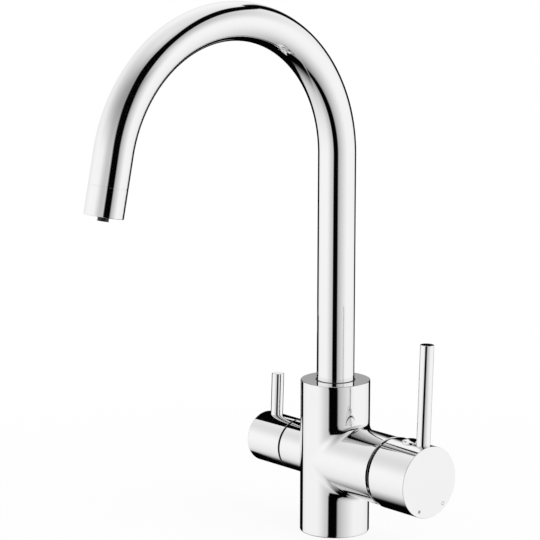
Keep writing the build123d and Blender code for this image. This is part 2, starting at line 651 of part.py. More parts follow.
def port_places():
    """Hot, cold and mixed ports of the cartridge: y, z and radius."""
    return (
        (-INLET_PORT_Y, INLET_PORT_Z, INLET_PORT_RADIUS),
        (INLET_PORT_Y, INLET_PORT_Z, INLET_PORT_RADIUS),
        (0.0, OUTLET_PORT_Z, OUTLET_PORT_RADIUS),
    )


def cartridge_base():
    """Plastic base with three ports, each with a groove for its seal."""
    base = x_rod(CARTRIDGE_RADIUS, CARTRIDGE_SEAT, HOUSING_START)
    for y, z, radius in port_places():
        base = base - x_rod(radius, CARTRIDGE_SEAT, HOUSING_START, y, z)
        base = base - x_rod(radius + PORT_SEAL_WIDTH, CARTRIDGE_SEAT, CARTRIDGE_SEAT + PORT_SEAL_DEPTH, y, z)
    return base


def cartridge_port_seals():
    """Rubber rings between the cartridge's ports and the body."""
    seals = []
    for y, z, radius in port_places():
        end = CARTRIDGE_SEAT + PORT_SEAL_DEPTH
        seal = x_rod(radius + PORT_SEAL_WIDTH - SEATED_FIT, CARTRIDGE_SEAT, end, y, z)
        seals.append(seal - x_rod(radius, CARTRIDGE_SEAT, end, y, z))
    return seals


def fixed_ceramic_disc():
    """Ceramic disc with the three ports, which stays still."""
    disc = x_rod(FIXED_DISC_RADIUS, HOUSING_START, FIXED_DISC_END)
    for y, z, radius in port_places():
        disc = disc - x_rod(radius, HOUSING_START, FIXED_DISC_END, y, z)
    return disc


def cartridge_housing():
    """Plastic case of the cartridge, open towards its base, with a mouth for the stem."""
    case = x_rod(CARTRIDGE_RADIUS, HOUSING_START, HOUSING_END)
    case = case - x_rod(HOUSING_BORE, HOUSING_START, CARRIER_END + FACE_PLAY)
    return case - x_rod(CARTRIDGE_MOUTH, CARRIER_END, HOUSING_END)


def cartridge_nut():
    """Brass nut that clamps the cartridge, with slots for its spanner."""
    nut = x_rod(NUT_RADIUS, HOUSING_END, NUT_END) - x_rod(NUT_MOUTH, HOUSING_END, NUT_END)
    slot = x_box(NUT_END - NUT_SLOT_DEPTH, NUT_END + OVERCUT, NUT_SLOT_WIDTH, 0, NUT_RADIUS + OVERCUT)
    for index in range(NUT_SLOTS):
        nut = nut - about_handles(360 * (index + 1 / 2) / NUT_SLOTS, slot)
    return nut


def dome_cover():
    """Ring with a ball-shaped front, round the tilt pin, that closes the gap under the handle."""
    inner_sphere = DOME_SPHERE - DOME_WALL
    inner_radius = DOME_RADIUS - DOME_WALL
    shoulder = PIVOT + sqrt(DOME_SPHERE ** 2 - DOME_RADIUS ** 2)
    inner_shoulder = PIVOT + sqrt(inner_sphere ** 2 - inner_radius ** 2)
    middle = (DOME_MOUTH + asin(DOME_RADIUS / DOME_SPHERE)) / 2
    inner_middle = (DOME_MOUTH + asin(inner_radius / inner_sphere)) / 2

    def on_sphere(radius, angle):
        return (PIVOT + radius * cos(angle), CROSS_HEIGHT + radius * sin(angle))

    outer_mouth = on_sphere(DOME_SPHERE, DOME_MOUTH)
    inner_mouth = on_sphere(inner_sphere, DOME_MOUTH)
    outer_edge = (shoulder, CROSS_HEIGHT + DOME_RADIUS)
    inner_edge = (inner_shoulder, CROSS_HEIGHT + inner_radius)
    seat = (DOME_START, CROSS_HEIGHT + DOME_RADIUS)
    inner_seat = (DOME_START, CROSS_HEIGHT + inner_radius)
    outline = (
        Polyline(inner_edge, inner_seat, seat, outer_edge)
        + ThreePointArc(outer_edge, on_sphere(DOME_SPHERE, middle), outer_mouth)
        + Line(outer_mouth, inner_mouth)
        + ThreePointArc(inner_mouth, on_sphere(inner_sphere, inner_middle), inner_edge)
    )
    face = make_face(Plane.XZ * outline)
    return revolve(face, Axis((0, 0, CROSS_HEIGHT), (1, 0, 0)))


def cartridge_carrier():
    """Turns with the handle, holds the tilt pin and guides the disc's driver on two rails."""
    carrier = x_rod(CARRIER_RADIUS, CARRIER_START, CARRIER_END)
    start, half = CARRIER_START - RAIL_DEPTH, RAIL_HALF_HEIGHT
    for side in (-1, 1):
        carrier = carrier + x_box(start, CARRIER_START, RAIL_WIDTH, -half, half, side * RAIL_Y)
    tilt = radians(TILT_RANGE)
    swing = STEM_RADIUS / cos(tilt) + LOOSE_FIT
    top = swing + (PIVOT - CARRIER_START) * sin(tilt)
    bottom = -swing - (CARRIER_END - PIVOT) * sin(tilt) - LOOSE_FIT
    carrier = carrier - x_box(CARRIER_START, CARRIER_END, 2 * (STEM_RADIUS + RUNNING_FIT), bottom, top)
    pin_hole = y_rod(TILT_PIN_RADIUS + SEATED_FIT, -CARRIER_RADIUS, CARRIER_RADIUS, PIVOT, CROSS_HEIGHT)
    return leaned(carrier - pin_hole)


def tilt_pin():
    """Steel pin that the lever tilts on."""
    reach = CARRIER_RADIUS - TILT_PIN_SUNK
    return leaned(y_rod(TILT_PIN_RADIUS, -reach, reach, PIVOT, CROSS_HEIGHT))


def moving_ceramic_disc():
    """Ceramic disc whose chamber joins the ports when it slides up."""
    disc = x_rod(MOVING_DISC_RADIUS, MOVING_DISC_START, MOVING_DISC_END)
    start, end = MOVING_DISC_START, MOVING_DISC_START + CHAMBER_DEPTH
    low, high = CHAMBER_Z - CHAMBER_RADIUS, CHAMBER_Z + CHAMBER_RADIUS
    chamber = x_box(start, end, CHAMBER_SPREAD, low, high)
    for side in (-1, 1):
        chamber = chamber + x_rod(CHAMBER_RADIUS, start, end, side * CHAMBER_SPREAD / 2, CHAMBER_Z)
    return leaned(disc - chamber)


def disc_driver():
    """Plastic plate on the moving disc, pushed by the stem's ball and guided by the rails."""
    driver = x_rod(DRIVER_RADIUS, MOVING_DISC_END, DRIVER_END)
    pocket_half = STEM_BALL + LOOSE_FIT
    pocket_width = 2 * (STEM_BALL + RUNNING_FIT)
    driver = driver - x_box(MOVING_DISC_END, DRIVER_END, pocket_width, -pocket_half, pocket_half)
    rail_floor = CARRIER_START - RAIL_DEPTH - LOOSE_FIT
    rail_groove = RAIL_WIDTH + 2 * SLIDE_PLAY
    half = DRIVER_RADIUS
    for side in (-1, 1):
        driver = driver - x_box(rail_floor, DRIVER_END, rail_groove, -half, half, side * RAIL_Y)
    return leaned(driver)


# ---------------------------------------------------------------- mixer handle

def mixer_stem():
    """Steel stem: ball for the disc, hole for the tilt pin and a square for the handle."""
    ball_x = PIVOT - STEM_ARM
    neck_end = CARRIER_START + STEM_SHOULDER
    stem = Pos(ball_x, 0, CROSS_HEIGHT) * Sphere(STEM_BALL)
    stem = stem + x_rod(STEM_NECK, ball_x, neck_end)
    stem = stem + x_rod(STEM_RADIUS, neck_end, HUB_START)
    stem = stem + x_box(HUB_START, STEM_END, STEM_SQUARE, -STEM_SQUARE / 2, STEM_SQUARE / 2)
    pin_hole = y_rod(TILT_PIN_RADIUS + RUNNING_FIT, -STEM_RADIUS, STEM_RADIUS, PIVOT, CROSS_HEIGHT)
    return leaned(stem - pin_hole)


def mixer_handle_cap():
    """Chromed cap of the mixer handle, with a hub for the stem and a rib under the lever pin."""
    cap = x_rod(CAP_RADIUS, CAP_START, CAP_END)
    cap = fillet(cap.edges().filter_by(GeomType.CIRCLE), CAP_EDGE)
    cap = cap - x_rod(CAP_BORE, CAP_START, CAP_INSIDE)
    hub_end = CAP_INSIDE + JOINED
    rib_start = max(PLUG_X - PLUG_RADIUS - RIB_MARGIN, HUB_START)
    rib = x_box(rib_start, hub_end, RIB_WIDTH, 0, CAP_BORE + JOINED)
    rib = rib & x_rod(CAP_BORE + JOINED, HUB_START, hub_end)
    cap = cap + x_rod(HUB_RADIUS, HUB_START, hub_end) + rib
    half = STEM_SQUARE / 2 + SEATED_FIT
    cap = cap - x_box(HUB_START, STEM_END + SEATED_FIT, 2 * half, -half, half)
    crown = CROSS_HEIGHT + CAP_RADIUS + OVERCUT
    cap = cap - z_rod(LEVER_BORE, CROSS_HEIGHT + LEVER_ROOT, crown, LEVER_X)
    cap = cap - z_rod(PLUG_RADIUS + SEATED_FIT, CROSS_HEIGHT + PLUG_SEAT, crown, PLUG_X)
    return leaned(cap - z_rod(SET_SCREW_RADIUS + SEATED_FIT, CROSS_HEIGHT, crown, PLUG_X))


def mixer_lever_pin():
    """Chromed lever pin of the mixer handle."""
    pin = z_rod(LEVER_RADIUS, CROSS_HEIGHT + LEVER_ROOT, CROSS_HEIGHT + LEVER_REACH, LEVER_X)
    top = pin.edges().filter_by(GeomType.CIRCLE).sort_by(Axis.Z)[-1]
    return leaned(fillet(top, LEVER_EDGE))


def mixer_set_screw():
    """Grub screw that clamps the handle on the stem."""
    low = CROSS_HEIGHT + STEM_SQUARE / 2 + SEATED_FIT
    screw = z_rod(SET_SCREW_RADIUS, low, low + SET_SCREW_LENGTH, PLUG_X)
    socket = hexagon_bar(SCREW_SOCKET, SCREW_SOCKET_DEPTH)
    return leaned(screw - Pos(PLUG_X, 0, low + SET_SCREW_LENGTH - SCREW_SOCKET_DEPTH) * socket)


def mixer_screw_plug():
    """Domed chrome plug over the handle's grub screw."""
    seat = CROSS_HEIGHT + PLUG_SEAT
    rise = CAP_RADIUS + PLUG_PROUD - PLUG_SEAT
    rim = rise / 2
    crown = rise - rim
    sphere = (PLUG_RADIUS ** 2 + crown ** 2) / (2 * crown)
    plug = z_rod(PLUG_RADIUS, seat, seat + rise, PLUG_X)
    return leaned(plug & Pos(PLUG_X, 0, seat + rise - sphere) * Sphere(sphere))


# ---------------------------------------------------------------- filter valve

def filter_valve_body():
    """Brass headwork of the quarter-turn valve."""
    thread_radius = VALVE_BORE - SEATED_FIT
    valve = filter_rod(VALVE_NOSE_RADIUS, VALVE_START, VALVE_NOSE_END)
    valve = valve + filter_rod(thread_radius, VALVE_NOSE_END, VALVE_THREAD_END)
    hexagon = Rot(0, -90, 0) * hexagon_bar(VALVE_HEX, VALVE_HEX_LENGTH)
    valve = valve + Pos(-VALVE_THREAD_END, 0, CROSS_HEIGHT) * hexagon
    valve = valve + filter_rod(VALVE_NECK_RADIUS, HEX_END, NECK_END)
    valve = valve - filter_rod(VALVE_CHAMBER, VALVE_START, VALVE_BORE_END)
    valve = valve - filter_rod(SPINDLE_RADIUS + RUNNING_FIT, VALVE_START, NECK_END)
    window = Box(VALVE_DISC - 2 * FACE_PLAY, VALVE_WINDOW, 2 * VALVE_NOSE_RADIUS + OVERCUT)
    valve = valve - Pos(-(TURNING_DISC_START + VALVE_DISC / 2), 0, CROSS_HEIGHT) * window
    groove_start = VALVE_THREAD_END - 2 * FLANGE_RING
    groove = filter_rod(VALVE_BORE, groove_start, VALVE_THREAD_END)
    core = filter_rod(thread_radius - 2 * FLANGE_RING, groove_start, VALVE_THREAD_END)
    return valve - (groove - core)


def filter_seat_seal():
    """Rubber seal between the valve's nose and its seat in the body."""
    seal = filter_rod(VALVE_CHAMBER - SEATED_FIT, FILTER_SEAT, VALVE_DISC_START)
    return seal - filter_rod(SEAT_SEAL_BORE, FILTER_SEAT, VALVE_DISC_START)


def filter_valve_oring():
    """O-ring under the valve's hexagon."""
    radius = VALVE_BORE - SEATED_FIT - FLANGE_RING
    return ring(radius, FLANGE_RING - SEATED_FIT, "x", -(VALVE_THREAD_END - FLANGE_RING))


def filter_fixed_disc():
    """Ceramic disc with two ports, which stays still."""
    start, end = VALVE_DISC_START, VALVE_DISC_START + VALVE_DISC
    disc = filter_rod(VALVE_CHAMBER - SEATED_FIT, start, end)
    for side in (-1, 1):
        disc = disc - filter_rod(VALVE_PORT_RADIUS, start, end, side * VALVE_PORT_OFFSET)
    return disc


def filter_moving_disc():
    """Ceramic disc that turns over the two ports and lets the water out at its rim."""
    start, middle = TURNING_DISC_START, TURNING_DISC_START + VALVE_DISC / 2
    disc = filter_rod(VALVE_CHAMBER - RUNNING_FIT, start, TURNING_DISC_END)
    for side in (-1, 1):
        port = side * VALVE_PORT_OFFSET
        low, high = sorted((port, side * VALVE_CHAMBER))
        disc = disc - filter_rod(VALVE_PORT_RADIUS, start, middle, 0, port)
        disc = disc - x_box(-middle, -start, 2 * VALVE_PORT_RADIUS, low, high)
    return leaned(disc)


def spindle_ring_places():
    """Middles of the spindle's two O-ring grooves."""
    first = VALVE_BORE_END + SPINDLE_RING_SPACING
    return (first, first + SPINDLE_RING_SPACING)


def filter_spindle():
    """Brass spindle that turns the moving disc, with O-ring and clip grooves and a square."""
    spindle = filter_rod(VALVE_CHAMBER - RUNNING_FIT, TURNING_DISC_END, SPINDLE_SHOULDER)
    spindle = spindle + filter_rod(SPINDLE_RADIUS, SPINDLE_SHOULDER, KNOB_HUB_START)
    half = SPINDLE_SQUARE / 2
    spindle = spindle + x_box(-SPINDLE_END, -KNOB_HUB_START, SPINDLE_SQUARE, -half, half)
    width = SPINDLE_GROOVE + LOOSE_FIT
    for middle in spindle_ring_places():
        groove = filter_rod(SPINDLE_RADIUS, middle - width / 2, middle + width / 2)
        spindle = spindle - (groove - filter_rod(SPINDLE_RADIUS - SPINDLE_GROOVE, 0, SPINDLE_END))
    clip_groove = filter_rod(SPINDLE_RADIUS, CLIP_START, CLIP_END)
    spindle = spindle - (clip_groove - filter_rod(SPINDLE_RADIUS - CLIP_DEPTH, 0, SPINDLE_END))
    return leaned(spindle)


def filter_spindle_orings():
    """The two O-rings on the spindle."""
    cord = (SPINDLE_GROOVE + RUNNING_FIT) / 2 - SEATED_FIT / 2
    radius = SPINDLE_RADIUS - SPINDLE_GROOVE + cord
    return [leaned(ring(radius, cord, "x", -middle)) for middle in spindle_ring_places()]


def filter_spindle_clip():
    """Spring clip that keeps the spindle in the valve."""
    inner = SPINDLE_RADIUS - CLIP_DEPTH
    clip = filter_rod(CLIP_RADIUS, CLIP_START, CLIP_END) - filter_rod(inner, CLIP_START, CLIP_END)
    mouth = x_box(-CLIP_END, -CLIP_START, SPINDLE_RADIUS, 0, CLIP_RADIUS)
    return leaned(clip - mouth)


# ---------------------------------------------------------------- filter handle

def filter_knob():
    """Chromed knob of the filter valve, with a hub for the spindle and a boss for its pin."""
    knob = filter_rod(FILTER_RADIUS, KNOB_START, KNOB_END)
    knob = fillet(knob.edges().filter_by(GeomType.CIRCLE), KNOB_EDGE)
    knob = knob - filter_rod(KNOB_BORE, KNOB_START, KNOB_INSIDE)
    hub_end = KNOB_INSIDE + JOINED
    crown = CROSS_HEIGHT + FILTER_RADIUS + OVERCUT
    boss = z_rod(FILTER_LEVER_RADIUS + FILTER_BOSS_WALL, CROSS_HEIGHT, crown, -FILTER_LEVER_X)
    boss = boss & filter_rod(KNOB_BORE + JOINED, KNOB_HUB_START, hub_end)
    knob = knob + filter_rod(KNOB_HUB_RADIUS, KNOB_HUB_START, hub_end) + boss
    half = SPINDLE_SQUARE / 2 + SEATED_FIT
    knob = knob - x_box(-SPINDLE_END - SEATED_FIT, -KNOB_HUB_START, 2 * half, -half, half)
    bore = FILTER_LEVER_RADIUS + SEATED_FIT
    knob = knob - z_rod(bore, CROSS_HEIGHT + FILTER_LEVER_ROOT, crown, -FILTER_LEVER_X)
    bottom = CROSS_HEIGHT - FILTER_RADIUS - OVERCUT
    screw_bore = FILTER_SCREW_RADIUS + SEATED_FIT
    return leaned(knob - z_rod(screw_bore, bottom, CROSS_HEIGHT, -FILTER_SCREW_X))


def filter_lever_pin():
    """Chromed lever pin of the filter knob."""
    root, tip = CROSS_HEIGHT + FILTER_LEVER_ROOT, CROSS_HEIGHT + FILTER_LEVER_REACH
    pin = z_rod(FILTER_LEVER_RADIUS, root, tip, -FILTER_LEVER_X)
    top = pin.edges().filter_by(GeomType.CIRCLE).sort_by(Axis.Z)[-1]
    return leaned(fillet(top, LEVER_EDGE))


def filter_set_screw():
    """Grub screw that clamps the knob on the spindle, from below."""
    high = CROSS_HEIGHT - SPINDLE_SQUARE / 2 - SEATED_FIT
    low = high - FILTER_SCREW_LENGTH
    screw = z_rod(FILTER_SCREW_RADIUS, low, high, -FILTER_SCREW_X)
    socket = Pos(-FILTER_SCREW_X, 0, low) * hexagon_bar(SCREW_SOCKET, SCREW_SOCKET_DEPTH)
    return leaned(screw - socket)


# ---------------------------------------------------------------- writing the pieces

PIECES = (
    body_casting, base_seal, spout_glide_ring, spout_thrust_washer, inner_tube_oring, spout_retaining_screw,
    spout_tube, spout_foot, spout_orings, inner_water_tube, spout_end_ring, aerator_cup, aerator_screen,
    aerator_seal, nozzle_adapter, filtered_water_nozzle,
    cartridge_base, cartridge_port_seals, fixed_ceramic_disc, cartridge_housing, cartridge_nut, dome_cover,
    cartridge_carrier, tilt_pin, moving_ceramic_disc, disc_driver,
    mixer_stem, mixer_handle_cap, mixer_lever_pin, mixer_set_screw, mixer_screw_plug,
    filter_valve_body, filter_seat_seal, filter_valve_oring, filter_fixed_disc, filter_moving_disc,
    filter_spindle, filter_spindle_orings, filter_spindle_clip,
    filter_knob, filter_lever_pin, filter_set_screw,
)


def write_piece(make):
    """Writes one piece, or a group of like pieces, under its function's name."""
    made = make()
    pieces = made if isinstance(made, list) else [made]
    solids = [solid for piece in pieces for solid in piece.solids()]
    whole = solids[0] if len(solids) == 1 else Compound(solids)
    export_step(whole, os.path.join("parts", make.__name__ + ".step"))


if __name__ == "__main__":
    os.makedirs("parts", exist_ok=True)
    for make in PIECES:
        write_piece(make)
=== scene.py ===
# %% [markdown]
# # A three way filtered water tap
#
# The real thing is a chromed kitchen tap. A stout column carries a swan-neck spout, a mixer
# handle on one side and a smaller handle for filtered water on the other. The solids, with
# their places and joints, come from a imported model, which is loaded here as a fixed frame.
# This lesson gives the pieces that show a finer mesh and every piece a finish.

import math

import bmesh
import bpy
from mathutils import Matrix, Vector


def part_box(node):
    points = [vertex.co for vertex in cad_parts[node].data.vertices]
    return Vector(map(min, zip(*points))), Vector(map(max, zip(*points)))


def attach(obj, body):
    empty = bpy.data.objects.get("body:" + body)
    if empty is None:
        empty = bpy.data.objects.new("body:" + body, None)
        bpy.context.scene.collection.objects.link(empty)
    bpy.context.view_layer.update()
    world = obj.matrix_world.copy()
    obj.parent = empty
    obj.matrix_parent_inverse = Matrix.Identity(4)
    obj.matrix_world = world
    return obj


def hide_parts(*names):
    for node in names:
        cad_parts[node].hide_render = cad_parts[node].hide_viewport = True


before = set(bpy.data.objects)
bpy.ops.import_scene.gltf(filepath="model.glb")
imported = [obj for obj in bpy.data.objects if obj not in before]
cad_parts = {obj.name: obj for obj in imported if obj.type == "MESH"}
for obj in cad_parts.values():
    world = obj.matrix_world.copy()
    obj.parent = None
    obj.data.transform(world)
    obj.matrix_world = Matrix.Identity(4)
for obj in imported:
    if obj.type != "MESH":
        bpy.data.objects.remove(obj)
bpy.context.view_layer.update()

# %% [markdown]
# ## Sizes
#
# Blender works in metres, and the frame does too. The sizes are written in millimetres times
# MM, as on the maker's drawing. The foot's centre is the origin, the mixer handle lies along
# +X, the filter handle along -X, and the spout reaches out along -Y.

# %% Sizes of the tap
MM = 0.001
CROSS_HEIGHT = 55.0 * MM
LEVER_LEAN = math.radians(2.0)

BODY_RADIUS = 25.0 * MM
BODY_HEIGHT = 111.3 * MM
BODY_TOP_EDGE = 0.5 * MM
BODY_FOOT_EDGE = 0.9 * MM
BRANCH_RADIUS = 24.8 * MM
BRANCH_END = 58.9 * MM
BRANCH_FILLET = 4.0 * MM
BRANCH_SPREAD = 10.0 * MM
FILTER_RADIUS = 18.5 * MM
FILTER_END = 39.9 * MM
FILTER_FILLET = 1.2 * MM
RIM_EDGE = 0.5 * MM

SPOUT_RADIUS = 13.5 * MM
SPOUT_BORE = 12.2 * MM
SPOUT_START = 108.0 * MM
RISER_TOP = 274.0 * MM
ARCH_RADIUS = 100.6 * MM
ARCH_ANGLE = math.radians(168.2)
OUTLET_RUN = 42.5 * MM
END_RING_LENGTH = 20.0 * MM
SEAM_CHAMFER = 0.2 * MM

# %% [markdown]
# ## Sums written as sums
#
# A material is a graph of nodes, and its arithmetic is a Math node for each plus and times.
# Linked by hand, a sum of four terms is hard to read. A small class that wraps a node's output
# and knows what + and * mean lets Python write the nodes, so the line reads as the formula.
# Every other node comes from one method, which sets the node's settings and then its sockets.

# %% A small language for materials
class Number:
    """A number that a node gives out. Sums on it add Math nodes."""

    def __init__(self, recipe, socket):
        self.recipe = recipe
        self.socket = socket

    def maths(self, operation, first, second=0.0):
        node = self.recipe.node("ShaderNodeMath", {"operation": operation}, {0: first, 1: second})
        return Number(self.recipe, node.outputs[0])

    def __add__(self, other):
        return self.maths("ADD", self, other)

    def __radd__(self, other):
        return self.maths("ADD", other, self)

    def __sub__(self, other):
        return self.maths("SUBTRACT", self, other)

    def __rsub__(self, other):
        return self.maths("SUBTRACT", other, self)

    def __mul__(self, other):
        return self.maths("MULTIPLY", self, other)

    def __rmul__(self, other):
        return self.maths("MULTIPLY", other, self)

    def __truediv__(self, other):
        return self.maths("DIVIDE", self, other)

    def __abs__(self):
        return self.maths("ABSOLUTE", self)

    def __lt__(self, other):
        return self.maths("LESS_THAN", self, other)

    def __gt__(self, other):
        return self.maths("GREATER_THAN", self, other)


class Recipe:
    """The nodes of one material, or of the world."""

    def __init__(self, tree):
        self.tree = tree
        self.tree.nodes.clear()

    def node(self, kind, settings=None, inputs=None):
        """Adds a node: settings first, then the values or links of its sockets."""
        node = self.tree.nodes.new(kind)
        for name, setting in (settings or {}).items():
            setattr(node, name, setting)
        for name, given in (inputs or {}).items():
            given = given.socket if isinstance(given, Number) else given
            if isinstance(given, bpy.types.NodeSocket):
                self.tree.links.new(given, node.inputs[name])
            else:
                node.inputs[name].default_value = given
        return node

    def number(self, kind, output, settings=None, inputs=None):
        """Adds a node and gives one of its outputs as a number to do sums with."""
        return Number(self, self.node(kind, settings, inputs).outputs[output])

    def smooth_step(self, value, start, end):
        """0 before start, 1 after end, and an even curve between them."""
        settings = {"interpolation_type": "SMOOTHSTEP"}
        inputs = {"Value": value, "From Min": start, "From Max": end}
        return self.number("ShaderNodeMapRange", "Result", settings, inputs)

    def mix(self, share, first, second):
        """A colour between two colours."""
        inputs = {"Factor": share, 6: first, 7: second}
        return self.node("ShaderNodeMix", {"data_type": "RGBA"}, inputs).outputs[2]

    def noise(self, place, scale, detail):
        """A cloud of values from 0 to 1, finer with a larger scale."""
        inputs = {"Vector": place, "Scale": scale, "Detail": detail}
        return self.number("ShaderNodeTexNoise", "Fac", None, inputs)

    def bump(self, height, distance, strength):
        """A normal that is bent by a height."""
        inputs = {"Height": height, "Distance": distance, "Strength": strength}
        return self.node("ShaderNodeBump", None, inputs).outputs["Normal"]

    def along(self, place, axis):
        """One coordinate of a place: 0 for X, 1 for Y and 2 for Z."""
        return self.number("ShaderNodeSeparateXYZ", axis, None, {0: place})


def new_material(name):
    """An empty material, its recipe and the object's own coordinates."""
    material = bpy.data.materials.new(name)
    material.use_nodes = True
    recipe = Recipe(material.node_tree)
    place = recipe.node("ShaderNodeTexCoord").outputs["Object"]
    return material, recipe, place


def close_material(recipe, values):
    """Adds the surface with its values and links it to the material's output."""
    surface = recipe.node("ShaderNodeBsdfPrincipled", None, values)
    recipe.node("ShaderNodeOutputMaterial", None, {"Surface": surface.outputs["BSDF"]})


def grey(level):
    """A grey as a colour with its alpha."""
    return (level, level, level, 1.0)


print("materials are written with Number and Recipe")

# %% [markdown]
# ## Chrome plate
#
# Bright chrome is a mirror with hardly a colour of its own. What makes it look real is that
# the mirror isn't perfect: buffing leaves soft patches that are a little less sharp, and the
# plate waves by a few microns, as nickel does under it. The patches come from a coarse
# noise in the roughness, a fine noise gives the haze of wiping, and a very low bump gives the
# waves. The mixer handle's face also has two plain printed marks, which are masks made from
# the distance to a point on the face. Two more masks are painted shade: they draw the plate
# darker in the handles' gaps, so that each gap reads as a line: one grows towards the rim of
# the dome, and the other covers the rear rim of the filter knob.

# %% Chrome
CHROME_TONE = 0.93
CHROME_WORN = 0.86
CHROME_ROUGHNESS = 0.035
ROUGHNESS_SPREAD = 0.03
PATCH_SCALE = 35.0
PATCH_SHARE = 0.4
HAZE_SCALE = 420.0
HAZE_SHARE = 0.2
WAVE_SCALE = 90.0
WAVE_HEIGHT = 0.012 * MM
WAVE_STRENGTH = 0.2
MARK_RADIUS = 1.2 * MM
MARK_LINE = 0.4 * MM
MARK_TONE = 0.3
MARK_ROUGHNESS = 0.4
FILLED_MARK = (-9.3 * MM, CROSS_HEIGHT - 19.4 * MM)
RING_MARK = (13.5 * MM, CROSS_HEIGHT - 17.3 * MM)
CAP_FACE = 97.0 * MM
# Spans and tone of the painted shade in the handles' gaps.
DOME_SHADE_SPAN = (17.5 * MM, 20.5 * MM)
KNOB_SHADE_SPAN = (-41.55 * MM, -41.3 * MM)
PAINTED_SHADE_TONE = 0.08


def distance(recipe, place, line):
    """How far a place lies from a line along X through (y, z)."""
    aside, up = [recipe.along(place, axis) - line[axis - 1] for axis in (1, 2)]
    return recipe.number("ShaderNodeMath", 0, {"operation": "SQRT"}, {0: aside * aside + up * up})


def face_marks(recipe, place):
    """A mask that is 1 on a dot and on a ring, both on the face of the mixer handle."""
    on_face = recipe.along(place, 0) > CAP_FACE - MARK_LINE
    dot = distance(recipe, place, FILLED_MARK) < MARK_RADIUS
    line = abs(distance(recipe, place, RING_MARK) - MARK_RADIUS) < MARK_LINE / 2
    return on_face * (dot + line)


def painted_shade_on_dome(recipe, place):
    """A mask of painted shade that grows towards the rim of the dome behind the mixer handle."""
    return recipe.smooth_step(distance(recipe, place, (0.0, CROSS_HEIGHT)), *DOME_SHADE_SPAN)


def painted_shade_on_knob(recipe, place):
    """A mask of painted shade on the rear rim of the filter knob, in its gap."""
    return recipe.smooth_step(recipe.along(place, 0), *KNOB_SHADE_SPAN)


def chrome(name, marked=False, painted_shade_mask=None):
    """Bright chrome plate, with soft buffing patches and a faint haze, and painted shade if given."""
    material, recipe, place = new_material(name)
    patches = recipe.noise(place, PATCH_SCALE, detail=3.0)
    haze = recipe.noise(place, HAZE_SCALE, detail=2.0)
    waves = recipe.noise(place, WAVE_SCALE, detail=1.0)
    worn = patches * PATCH_SHARE + haze * HAZE_SHARE
    tone = recipe.mix(worn, grey(CHROME_TONE), grey(CHROME_WORN))
    roughness = CHROME_ROUGHNESS + ROUGHNESS_SPREAD * patches * haze
    metal = 1.0
    if marked:
        marks = face_marks(recipe, place)
        tone = recipe.mix(marks, tone, grey(MARK_TONE))
        roughness = roughness + MARK_ROUGHNESS * marks
        metal = 1.0 - marks
    # Painted shade: the mask draws the plate darker in the handles' gaps.
    if painted_shade_mask:
        tone = recipe.mix(painted_shade_mask(recipe, place), tone, grey(PAINTED_SHADE_TONE))
    normal = recipe.bump(waves, WAVE_HEIGHT, WAVE_STRENGTH)
    values = {"Base Color": tone, "Metallic": metal, "Roughness": roughness, "Normal": normal}
    close_material(recipe, values)
    return material


chrome_plate = chrome("chrome_plate")
chrome_with_marks = chrome("chrome_plate_with_marks", marked=True)
# The dome and the knob get painted shade in the handles' gaps.
dome_chrome_with_painted_shade = chrome("chrome_plate_of_dome_with_painted_shade", painted_shade_mask=painted_shade_on_dome)
knob_chrome_with_painted_shade = chrome("chrome_plate_of_knob_with_painted_shade", painted_shade_mask=painted_shade_on_knob)
print("chrome:", chrome_plate.name, chrome_with_marks.name, dome_chrome_with_painted_shade.name, knob_chrome_with_painted_shade.name)

# %% [markdown]
# ## Turned metal
#
# The brass and steel pieces inside are turned on a lathe and left bare. The tool leaves fine
# rings round the axis. Rings of the distance from one line would suit one piece only, so the
# grain is a noise that is squeezed along one direction, which reads as turning on every piece.

# %% Brass and steel
TOOL_SCALE = 400.0
TOOL_DEPTH = 0.02 * MM
TOOL_STRENGTH = 0.5
TOOL_ROUGHNESS = 0.15
TARNISH_SCALE = 60.0


def turned_metal(name, bright, dull, roughness, grain):
    """Bare metal with tool marks and a little tarnish."""
    material, recipe, place = new_material(name)
    squeezed = recipe.node("ShaderNodeMapping", None, {"Vector": place, "Scale": grain})
    marks = recipe.noise(squeezed.outputs["Vector"], TOOL_SCALE, detail=4.0)
    tarnish = recipe.noise(place, TARNISH_SCALE, detail=5.0)
    tone = recipe.mix(tarnish, (*bright, 1.0), (*dull, 1.0))
    normal = recipe.bump(marks, TOOL_DEPTH, TOOL_STRENGTH)
    rough = roughness + TOOL_ROUGHNESS * marks
    values = {"Base Color": tone, "Metallic": 1.0, "Roughness": rough, "Normal": normal}
    close_material(recipe, values)
    return material


brass = turned_metal("turned_brass", (0.83, 0.64, 0.30), (0.62, 0.43, 0.18), 0.22, (8.0, 1.0, 1.0))
steel = turned_metal("ground_steel", (0.66, 0.65, 0.63), (0.50, 0.49, 0.48), 0.24, (1.0, 1.0, 9.0))
print("bare metals:", brass.name, steel.name)

# %% [markdown]
# ## Moulded and fired materials
#
# Plastic from a mould is never one colour: it has a fine, even texture from the tool and a
# slight cloudiness. Rubber is duller and coarser, and a ceramic disc is smooth with a faint
# speckle. One recipe with a few numbers covers them all.

# %% Plastics, rubber and ceramic
CLOUD_SCALE = 90.0
PIT_STRENGTH = 0.4
PIT_ROUGHNESS = 0.12


def moulded(name, tone, cloudy, roughness, texture, height):
    """A moulded or fired material with a fine texture and a slight cloudiness."""
    material, recipe, place = new_material(name)
    clouds = recipe.noise(place, CLOUD_SCALE, detail=3.0)
    pits = recipe.noise(place, texture, detail=4.0)
    colour = recipe.mix(clouds, (*tone, 1.0), (*cloudy, 1.0))
    normal = recipe.bump(pits, height, PIT_STRENGTH)
    rough = roughness + PIT_ROUGHNESS * pits
    close_material(recipe, {"Base Color": colour, "Roughness": rough, "Normal": normal})
    return material


